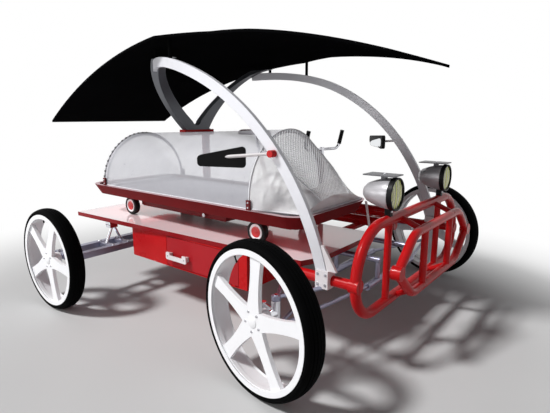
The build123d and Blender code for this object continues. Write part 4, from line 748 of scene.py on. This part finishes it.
# Stretcher wheels: black tread, white disc, red hub, each as a line of (radius, height) points
CASTER_Z = 0.5753
CASTER_ENDS = (("rear", -0.449), ("front", 0.710))
CASTER_SIDES = (("right", -0.560, -1), ("left", -0.080, 1))
TREAD_HALF = [(0.0435, 0.0160), (0.0470, 0.0218), (0.0530, 0.0226), (0.0595, 0.0190), (0.0621, 0.0125),
              (0.0628, 0.0045)]
CASTER_TREAD = TREAD_HALF + [(r, -h) for r, h in reversed(TREAD_HALF)]
CASTER_DISC = [(0.0093, -0.0195), (0.0093, 0.0186), (0.0290, 0.0186), (0.0310, 0.0178), (0.0355, 0.0184),
               (0.0412, 0.0204), (0.0444, 0.0186), (0.0444, -0.0186), (0.0412, -0.0204), (0.0355, -0.0172),
               (0.0150, -0.0195)]
CASTER_HUB = [(0.0, 0.0229), (0.0085, 0.0228), (0.0122, 0.0217), (0.0128, 0.0206), (0.0262, 0.0214),
              (0.0300, 0.0200), (0.0308, 0.0176), (0.0, 0.0193)]
for end, x in CASTER_ENDS:
    for name, y, out in CASTER_SIDES:
        caster = Shape()
        axle = basis((x, y, CASTER_Z), (0, out, 0))
        caster.lathe(CASTER_TREAD, axle, 72, 0, loop=True)
        caster.lathe(CASTER_DISC, axle, 64, 1, loop=True)
        caster.lathe(CASTER_HUB, axle, 48, 2)
        made = caster.piece(f"caster_wheel_{end}_{name}", ["caster_black", "wheel_white", "caster_hub"],
                            f"caster_{end}_{name}", "caster_black")
        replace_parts(made, f"caster_{end}_{name}")

# Lamp lenses with upright flutes, painted shade in the flute valleys and painted highlights on every other
# flute, and a rim wire round each bowl
LAMP_X, LAMP_Y, LAMP_Z, LENS_R = 1.408, 0.361, 0.827, 0.0697
FLUTES = 6
FLUTE_SWELL, VALLEY_W = 0.0030, 0.0062
LENS_IN, LENS_BOW, LENS_BACK, LENS_RIM = 0.0035, 0.008, 0.0240, 0.0126
WIRE_RING_R, WIRE_R, WIRE_BACK = 0.0735, 0.0030, 0.0312
BOWL_L, BOWL_BOLT = 0.168, 0.009
VALLEY = 1
heights = [j / 12 - 1 for j in range(25)]
strips = []
for k in range(FLUTES):
    first = -LENS_R + 2 * LENS_R * k / FLUTES
    last = -LENS_R + 2 * LENS_R * (k + 1) / FLUTES
    # Each flute's narrow valley takes the dark painted shade; the flutes take the lens glass and the paler
    # painted highlight in turn
    strips.append((first, first + VALLEY_W, VALLEY))
    strips.append((first + VALLEY_W, last, 2 * (k % 2)))
lens = Shape()
for side in SIDES:
    for first, last, index in strips:
        rows = []
        steps = 2 if index == VALLEY else 8
        for i in range(steps + 1):
            y = first + (last - first) * i / steps
            tall = sqrt(max(1e-9, LENS_R**2 - y * y))
            front = LAMP_X - LENS_IN + (0.0 if index == VALLEY else FLUTE_SWELL * sin(pi * i / steps))
            rows.append([(front - LENS_BOW * (y * y + (tall * q) ** 2) / LENS_R**2,
                          side * LAMP_Y + y, LAMP_Z + tall * q) for q in heights])
        lens.grid(rows, index)
    # The lens's back disc takes the dark painted shade too
    rear = basis((LAMP_X - LENS_BACK, side * LAMP_Y, LAMP_Z), (1, 0, 0))
    lens.lathe([(0.0, 0.0), (LENS_R, 0.0), (LENS_R, LENS_RIM)], rear, 64, VALLEY)
glass = lens.piece("lamp_lens_flutes", ["lamp_glass", "lamp_painted_shade", "lamp_painted_highlight"], "chassis", "lamp_glass",
                   sharp=60)
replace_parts(glass, "lamp_lenses")
wires = Shape()
for side in SIDES:
    lamp = basis((LAMP_X, side * LAMP_Y, LAMP_Z), (1, 0, 0))
    turns = [2 * pi * k / 64 for k in range(64)]
    wires.tube([lamp @ Vector((WIRE_RING_R * cos(a), WIRE_RING_R * sin(a), -WIRE_BACK)) for a in turns],
               WIRE_R, 8, 0, ring=True)
    wires.bolt((LAMP_X - BOWL_L, side * LAMP_Y, LAMP_Z), (-1, 0, 0), BOWL_BOLT, 1)
wires.piece("lamp_rim_wires", ["lamp_silver", "bolt_steel"], "chassis", "lamp_silver")

# Mirror glasses in the rear faces of the paddles: a black rim and a smaller glass on it
MIRROR_TURN = radians(40)
MIRROR_X, MIRROR_Y = 0.720, 0.830
PADDLE_L, GLASS_HALF = 0.23, 0.106
GLASS_CORNER = 0.45
GLASS_RINGS = (0.0, 0.5, 0.9, 0.97, 1.0)

# Layers of the glass: finish, distance from the paddle's middle plane and scale
GLASS_LAYERS = ((0, 0.0122, 1.0), (1, 0.0142, 0.93))
GLASS_ROUND = 0.03

# Rise of the paddle's upper and lower edge along it, and where each starts
TOP_RISE, TOP_START, FOOT_RISE, FOOT_START = 0.044, -0.001, -0.010, -0.034
mirror_low, mirror_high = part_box("mirrors")
mirror_z = (mirror_low.z + mirror_high.z) / 2
mirror = Shape()
for side in SIDES:
    along = Vector((cos(MIRROR_TURN), -side * sin(MIRROR_TURN), 0))
    back = -Vector((sin(MIRROR_TURN), side * cos(MIRROR_TURN), 0))
    centre = Vector((MIRROR_X, side * MIRROR_Y, mirror_z))
    for index, lift, scale in GLASS_LAYERS:
        rows = []
        for ring in GLASS_RINGS:
            row = []
            off = back * (lift - GLASS_ROUND * max(0, ring - 0.9))
            for k in range(48):
                a = 2 * pi * k / 48
                px = GLASS_HALF * scale * ring * rounded(cos(a), GLASS_CORNER)
                share = px / PADDLE_L + 0.5
                top, foot = TOP_RISE * share + TOP_START, FOOT_RISE * share + FOOT_START
                pz = (top + foot) / 2 + (top - foot) / 2 * scale * ring * rounded(sin(a), GLASS_CORNER)
                row.append(centre + along * px + Vector((0, 0, pz)) + off)
            rows.append(row)
        mirror.grid(rows, index, wrap=True)
mirror.piece("mirror_glasses", ["trim_black", "mirror_glass"], "chassis", "trim_black")

# Ribbed hand grips
BAR_MIDDLE = Vector((0.528, 0.353, 0.959))
BAR_HALF, GRIP_AHEAD, GRIP_UP = 0.175, 0.035, 0.125
RIBS, RIB_START, RIB_STEP = 11, -0.084, 0.0076
RIB = ((0.0133, 0.0), (0.0133, 0.0022), (0.0147, 0.0034), (0.0147, 0.0062))
GRIP_FOOT = [(0.0112, -0.095), (0.0150, -0.094), (0.0150, -0.088)]
GRIP_END = [(0.0138, 0.0015), (0.0149, 0.0025), (0.0145, 0.0050), (0.0110, 0.0060), (0.0, 0.0060)]
GRIP = GRIP_FOOT + [(r, RIB_START + k * RIB_STEP + h) for k in range(RIBS) for r, h in RIB] + GRIP_END
bar_left = Vector((-sin(STEER), cos(STEER), 0))
bar_forward = Vector((cos(STEER), sin(STEER), 0))
grips = Shape()
for side in SIDES:
    end = BAR_MIDDLE + bar_left * BAR_HALF * side
    tip = end + bar_forward * GRIP_AHEAD + Vector((0, 0, GRIP_UP))
    grips.lathe(GRIP, basis(tip, (tip - end).normalized()), 32)
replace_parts(grips.piece("grip_sleeves", ["trim_black"], "steering", "trim_black"), "handlebar_grips")

# Roller chain round the chainring and the sprocket
CHAIN_Y = 0.397
CHAIN_LIFT = 0.0045
PITCH = 0.0127
CRANK_X, CRANK_Y, CRANK_Z = 0.110, 0.353, 0.420
PLATE_R, PLATE_T = 0.0041, 0.0009
PLATE_ROUND = 8
INNER_PLATE, OUTER_PLATE = 0.0022, 0.0034
ROLLER = [(0.0, -0.0038), (0.0020, -0.0038), (0.0034, -0.0014), (0.0034, 0.0014), (0.0020, 0.0038),
          (0.0, 0.0038)]
CHAINRING_R, SPROCKET_R, SPROCKET_Z = 0.0883, 0.0403, 0.318
big, small = Vector((CRANK_X, CRANK_Z)), Vector((REAR_AXLE_X, SPROCKET_Z))
big_r, small_r = CHAINRING_R + CHAIN_LIFT, SPROCKET_R + CHAIN_LIFT
reach = (big - small).length
lean = atan2(big.y - small.y, big.x - small.x)
open_angle = acos((big_r - small_r) / reach)
upper, lower = lean + (pi - open_angle), lean - pi + open_angle
straight = sqrt(reach**2 - (big_r - small_r) ** 2)
big_arc = 2 * (pi - open_angle) * big_r
small_arc = 2 * open_angle * small_r
total = 2 * straight + big_arc + small_arc
links = 2 * int(total / PITCH / 2)


def on_circle(centre, radius, angle):
    """Point of a circle in the chain's plane."""
    return centre + Vector((cos(angle), sin(angle))) * radius


def chain_point(s):
    """Point of the chain's middle line by its length."""
    s %= total
    if s < big_arc:
        return on_circle(big, big_r, upper - s / big_r)
    s -= big_arc
    if s < straight:
        return on_circle(big, big_r, lower).lerp(on_circle(small, small_r, lower), s / straight)
    s -= straight
    if s < small_arc:
        return on_circle(small, small_r, lower - s / small_r)
    s -= small_arc
    return on_circle(small, small_r, upper).lerp(on_circle(big, big_r, upper), s / straight)


chain = Shape()
for k in range(links):
    a, b = chain_point(total * k / links), chain_point(total * (k + 1) / links)
    way = (b - a).normalized()
    across = Vector((-way.y, way.x))
    gap = OUTER_PLATE if k % 2 else INNER_PLATE
    plate = []
    for end, start in ((a, pi / 2), (b, -pi / 2)):
        for q in range(PLATE_ROUND):
            angle = start + pi * q / (PLATE_ROUND - 1)
            plate.append(end + (way * cos(angle) + across * sin(angle)) * PLATE_R)
    count = len(plate)
    for sign in SIDES:
        points = [(p.x, CHAIN_Y + sign * gap, p.y) for p in plate]
        points += [(p.x, CHAIN_Y + sign * (gap - PLATE_T), p.y) for p in plate]
        faces = [list(range(count)), list(range(count, 2 * count))]
        faces += [[i, (i + 1) % count, count + (i + 1) % count, count + i] for i in range(count)]
        chain.put(points, faces)
    chain.lathe(ROLLER, basis((a.x, CHAIN_Y, a.y), (0, 1, 0)), 8)
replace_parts(chain.piece("chain_links", ["arm_grey"], "chassis", "arm_grey", sharp=30), "chain")

# Chainring spider and pedal treads
CRANK_TURN = radians(20)
CRANK_L, PEDAL_OUT = 0.165, 0.062
SPIDER_OUT = 0.0025
SPIDER_HUB = [(0.0112, 0.0), (0.026, 0.0), (0.026, 0.003), (0.022, 0.0045), (0.0112, 0.0045)]
SPIDER_RING = [(0.066, 0.0), (0.080, 0.0), (0.080, 0.0014), (0.078, 0.0022), (0.068, 0.0022), (0.066, 0.0014)]
SPIDER_ARMS = 5
ARM_LINE = ((0.022, 0.008), (0.050, 0.0055), (0.070, 0.008))
ARM_SECTION = ((1, 0), (0.8, 0.0026), (-0.8, 0.0026), (-1, 0))
RING_BOLT_R, RING_BOLT_SIZE, RING_BOLT_OUT = 0.073, 0.0040, 0.002
TREAD_BARS, TREAD_STEP, TREAD_HALF_X = 6, 0.0132, 0.033
TREAD_IN, TREAD_L, TREAD_UP, TREAD_TOOTH, TREAD_R = 0.024, 0.070, 0.0108, 0.0012, 0.0022
crank_way = Vector((cos(CRANK_TURN), 0, sin(CRANK_TURN)))
hub = basis((CRANK_X, CHAIN_Y + SPIDER_OUT, CRANK_Z), (0, 1, 0), crank_way)
spider = Shape()
spider.lathe(SPIDER_HUB, hub, 40, 0, loop=True)
spider.lathe(SPIDER_RING, hub, 72, 0, loop=True)
for k in range(SPIDER_ARMS):
    angle = 2 * pi * k / SPIDER_ARMS
    way = Vector((cos(angle), sin(angle), 0))
    cross = Vector((-sin(angle), cos(angle), 0))
    spider.grid([[hub @ (way * r + cross * w * q + Vector((0, 0, h))) for q, h in ARM_SECTION]
                 for r, w in ARM_LINE])
    spot = way * RING_BOLT_R + Vector((0, 0, RING_BOLT_OUT))
    spider.bolt(hub @ spot, hub.to_3x3() @ Vector((0, 0, 1)), RING_BOLT_SIZE, 1)
spider.piece("chainring_spider", ["bright_chrome", "bolt_steel"], "crank", "arm_grey")
for name, side in (("right", -1), ("left", 1)):
    end = Vector((CRANK_X, CRANK_Y, CRANK_Z)) + crank_way * CRANK_L * side + Vector((0, PEDAL_OUT * side, 0))
    tread = Shape()
    for up in (1, -1):
        for k in range(TREAD_BARS):
            x = end.x - TREAD_HALF_X + k * TREAD_STEP
            tread.tube([(x, end.y + side * (TREAD_IN + TREAD_L * j / 14),
                         end.z + up * (TREAD_UP + TREAD_TOOTH * (j % 2))) for j in range(15)], TREAD_R, 6)
    tread.piece(f"pedal_tread_{name}", ["trim_black"], f"pedal_{name}", "trim_black")

# Fasteners: the place, direction and size of each bolt, by the body that it rides on
FOOT_X, FOOT_Y, FOOT_Z = 1.2195, 0.717, 0.468
LADDER_Y, LADDER_Z = (0.330, 0.642, 0.758, 1.043), 0.338
STRUT_Y, STRUT_Z = 0.737, 0.462
BRACKET_X, BRACKET_Z = 1.381, 0.742
LAMP_PLATE_X, LAMP_PLATE_Z = 1.336, 0.918
MAST_X, MAST_Y, MAST_Z = (-0.435, -0.385), (-0.085, 0.135), 1.088
HANDLE_X, HANDLE_Y, HANDLE_Z = (0.147, 0.293), -0.737, 0.368
TAB_X, TAB_OUT, TAB_Z = (-0.601, 0.742), 0.3553, 0.715
UP = (0, 0, 1)
fixings = {"chassis": Shape(), "drawer": Shape(), "stretcher": Shape()}
bolt = fixings["chassis"].bolt
for side in SIDES:
    out = (0, side, 0)
    # Clamp feet of the arches
    for dz in (0.024, -0.024):
        for dx in (-0.020, 0.020):
            bolt((FOOT_X + dx, side * FOOT_Y, FOOT_Z + dz), out, 0.0055)
    # Ladder arms at the rear
    for dx in (-0.082, 0.082):
        for y in LADDER_Y:
            bolt((REAR_AXLE_X + dx, side * y, LADDER_Z), UP, 0.0075)
    # Strut heads at the rear
    for dx in (-0.017, 0.017):
        bolt((REAR_AXLE_X + dx, side * STRUT_Y, STRUT_Z), out, 0.0055)
    # Lamp brackets and lamp plates
    bolt((BRACKET_X, side * LAMP_Y, BRACKET_Z), (1, 0, 0), 0.0055)
    bolt((LAMP_PLATE_X, side * LAMP_Y, LAMP_PLATE_Z), UP, 0.0050)
# Mast head
for y in MAST_Y:
    for x in MAST_X:
        bolt((x, y, MAST_Z), UP, 0.0065)
# Drawer handle
for x in HANDLE_X:
    fixings["drawer"].bolt((x, HANDLE_Y, HANDLE_Z), (0, -1, 0), 0.0038)
# Hoop tabs
for x in TAB_X:
    for side in SIDES:
        for dz in (0.013, 0.039):
            fixings["stretcher"].bolt((x, CANOPY_Y + side * TAB_OUT, TAB_Z + dz), (0, side, 0), 0.0038)
for body, shape in fixings.items():
    shape.piece(f"fixings_{body}", ["bolt_steel"], body, "bright_chrome")


# Floor, light and camera
def background_rays(tree):
    """1 for the rays that see the white background: from the camera, and reflected or passed on."""
    rays = add_node(tree, "ShaderNodeLightPath")
    share = rays.outputs["Is Camera Ray"]
    for kind in ("Is Glossy Ray", "Is Transmission Ray"):
        most = add_node(tree, "ShaderNodeMath", operation="MAXIMUM")
        tree.links.new(share, most.inputs[0])
        tree.links.new(rays.outputs[kind], most.inputs[1])
        share = most.outputs["Value"]
    return share


def blend_shaders(tree, share, first, second, output):
    """Mixes two shaders and gives the result to the tree's output node."""
    blend = add_node(tree, "ShaderNodeMixShader")
    tree.links.new(share, blend.inputs["Fac"])
    tree.links.new(first, blend.inputs[1])
    tree.links.new(second, blend.inputs[2])
    tree.links.new(blend.outputs["Shader"], tree.nodes[output].inputs["Surface"])


WHITE = {"Color": (1, 1, 1, 1), "Strength": 1.0}
FLOOR_HALF = 60.0
FLOOR_MIDDLE = (0.4, -0.5, 0.0)
FLOOR_FADE = {"From Min": 1.5, "From Max": 3.3}
floor_mesh = bpy.data.meshes.new("floor")
floor_mesh.from_pydata([(x * FLOOR_HALF, y * FLOOR_HALF, 0) for x, y in ((-1, -1), (1, -1), (1, 1), (-1, 1))],
                       [], [(0, 1, 2, 3)])
floor = bpy.data.objects.new("floor", floor_mesh)
bpy.context.scene.collection.objects.link(floor)
floor_paper, tree, shader = nodes_of("floor_paper")
link = tree.links.new
shader.inputs["Roughness"].default_value = 0.9
shader.inputs["Specular IOR Level"].default_value = 0.1
place = add_node(tree, "ShaderNodeNewGeometry").outputs["Position"]
mottle = add_node(tree, "ShaderNodeTexNoise", {"Scale": 0.8, "Detail": 2.0})
link(place, mottle.inputs["Vector"])
paper = ramp_of(tree, mottle.outputs["Fac"], (0.59, 0.59, 0.59), (0.63, 0.63, 0.63))
link(paper, shader.inputs["Base Color"])
distance = add_node(tree, "ShaderNodeVectorMath", operation="DISTANCE")
link(place, distance.inputs[0])
distance.inputs[1].default_value = FLOOR_MIDDLE
away = add_node(tree, "ShaderNodeMapRange", FLOOR_FADE, interpolation_type="SMOOTHSTEP")
link(distance.outputs["Value"], away.inputs["Value"])
share = add_node(tree, "ShaderNodeMath", operation="MULTIPLY")
link(background_rays(tree), share.inputs[0])
link(away.outputs["Result"], share.inputs[1])
white = add_node(tree, "ShaderNodeEmission", WHITE)
blend_shaders(tree, share.outputs["Value"], shader.outputs["BSDF"], white.outputs["Emission"],
              "Material Output")
floor_mesh.materials.append(floor_paper)

world = bpy.data.worlds.new("studio")
world.use_nodes = True
bpy.context.scene.world = world
tree = world.node_tree
fill = tree.nodes["Background"]
fill.inputs["Color"].default_value = (0.97, 0.97, 1.0, 1)
fill.inputs["Strength"].default_value = 0.12
backdrop = add_node(tree, "ShaderNodeBackground", WHITE)
blend_shaders(tree, background_rays(tree), fill.outputs["Background"], backdrop.outputs["Background"],
              "World Output")

KEY_WAY = Vector((0.37, 0.54, -0.76))
key = bpy.data.lights.new("key", "SUN")
key.energy = 2.85
key.angle = radians(9)
key_light = bpy.data.objects.new("key", key)
key_light.rotation_euler = KEY_WAY.to_track_quat("-Z", "Y").to_euler()
bpy.context.scene.collection.objects.link(key_light)

SIDE_LIGHT_AIM = Vector((0.2, 0, 0.6))
side_lamp = bpy.data.lights.new("side", "AREA")
side_lamp.shape = "RECTANGLE"
side_lamp.size = 5.0
side_lamp.size_y = 2.4
side_lamp.energy = 120
side_light = bpy.data.objects.new("side", side_lamp)
side_light.location = (-3.0, -5.6, 1.5)
side_light.rotation_euler = (SIDE_LIGHT_AIM - side_light.location).to_track_quat("-Z", "Y").to_euler()
bpy.context.scene.collection.objects.link(side_light)

CAMERA_DOWN, CAMERA_TURN = 11.59, 38.51
lens_data = bpy.data.cameras.new("photo_camera")
lens_data.lens = 28.73
lens_data.sensor_width = 36
lens_data.sensor_fit = "HORIZONTAL"
lens_data.clip_end = 200
camera = bpy.data.objects.new("photo_camera", lens_data)
camera.location = (2.219, -2.307, 1.186)
camera.rotation_euler = (radians(90 - CAMERA_DOWN), 0, radians(CAMERA_TURN))
bpy.context.scene.collection.objects.link(camera)
bpy.context.scene.camera = camera
bpy.context.scene.view_settings.view_transform = "Standard"
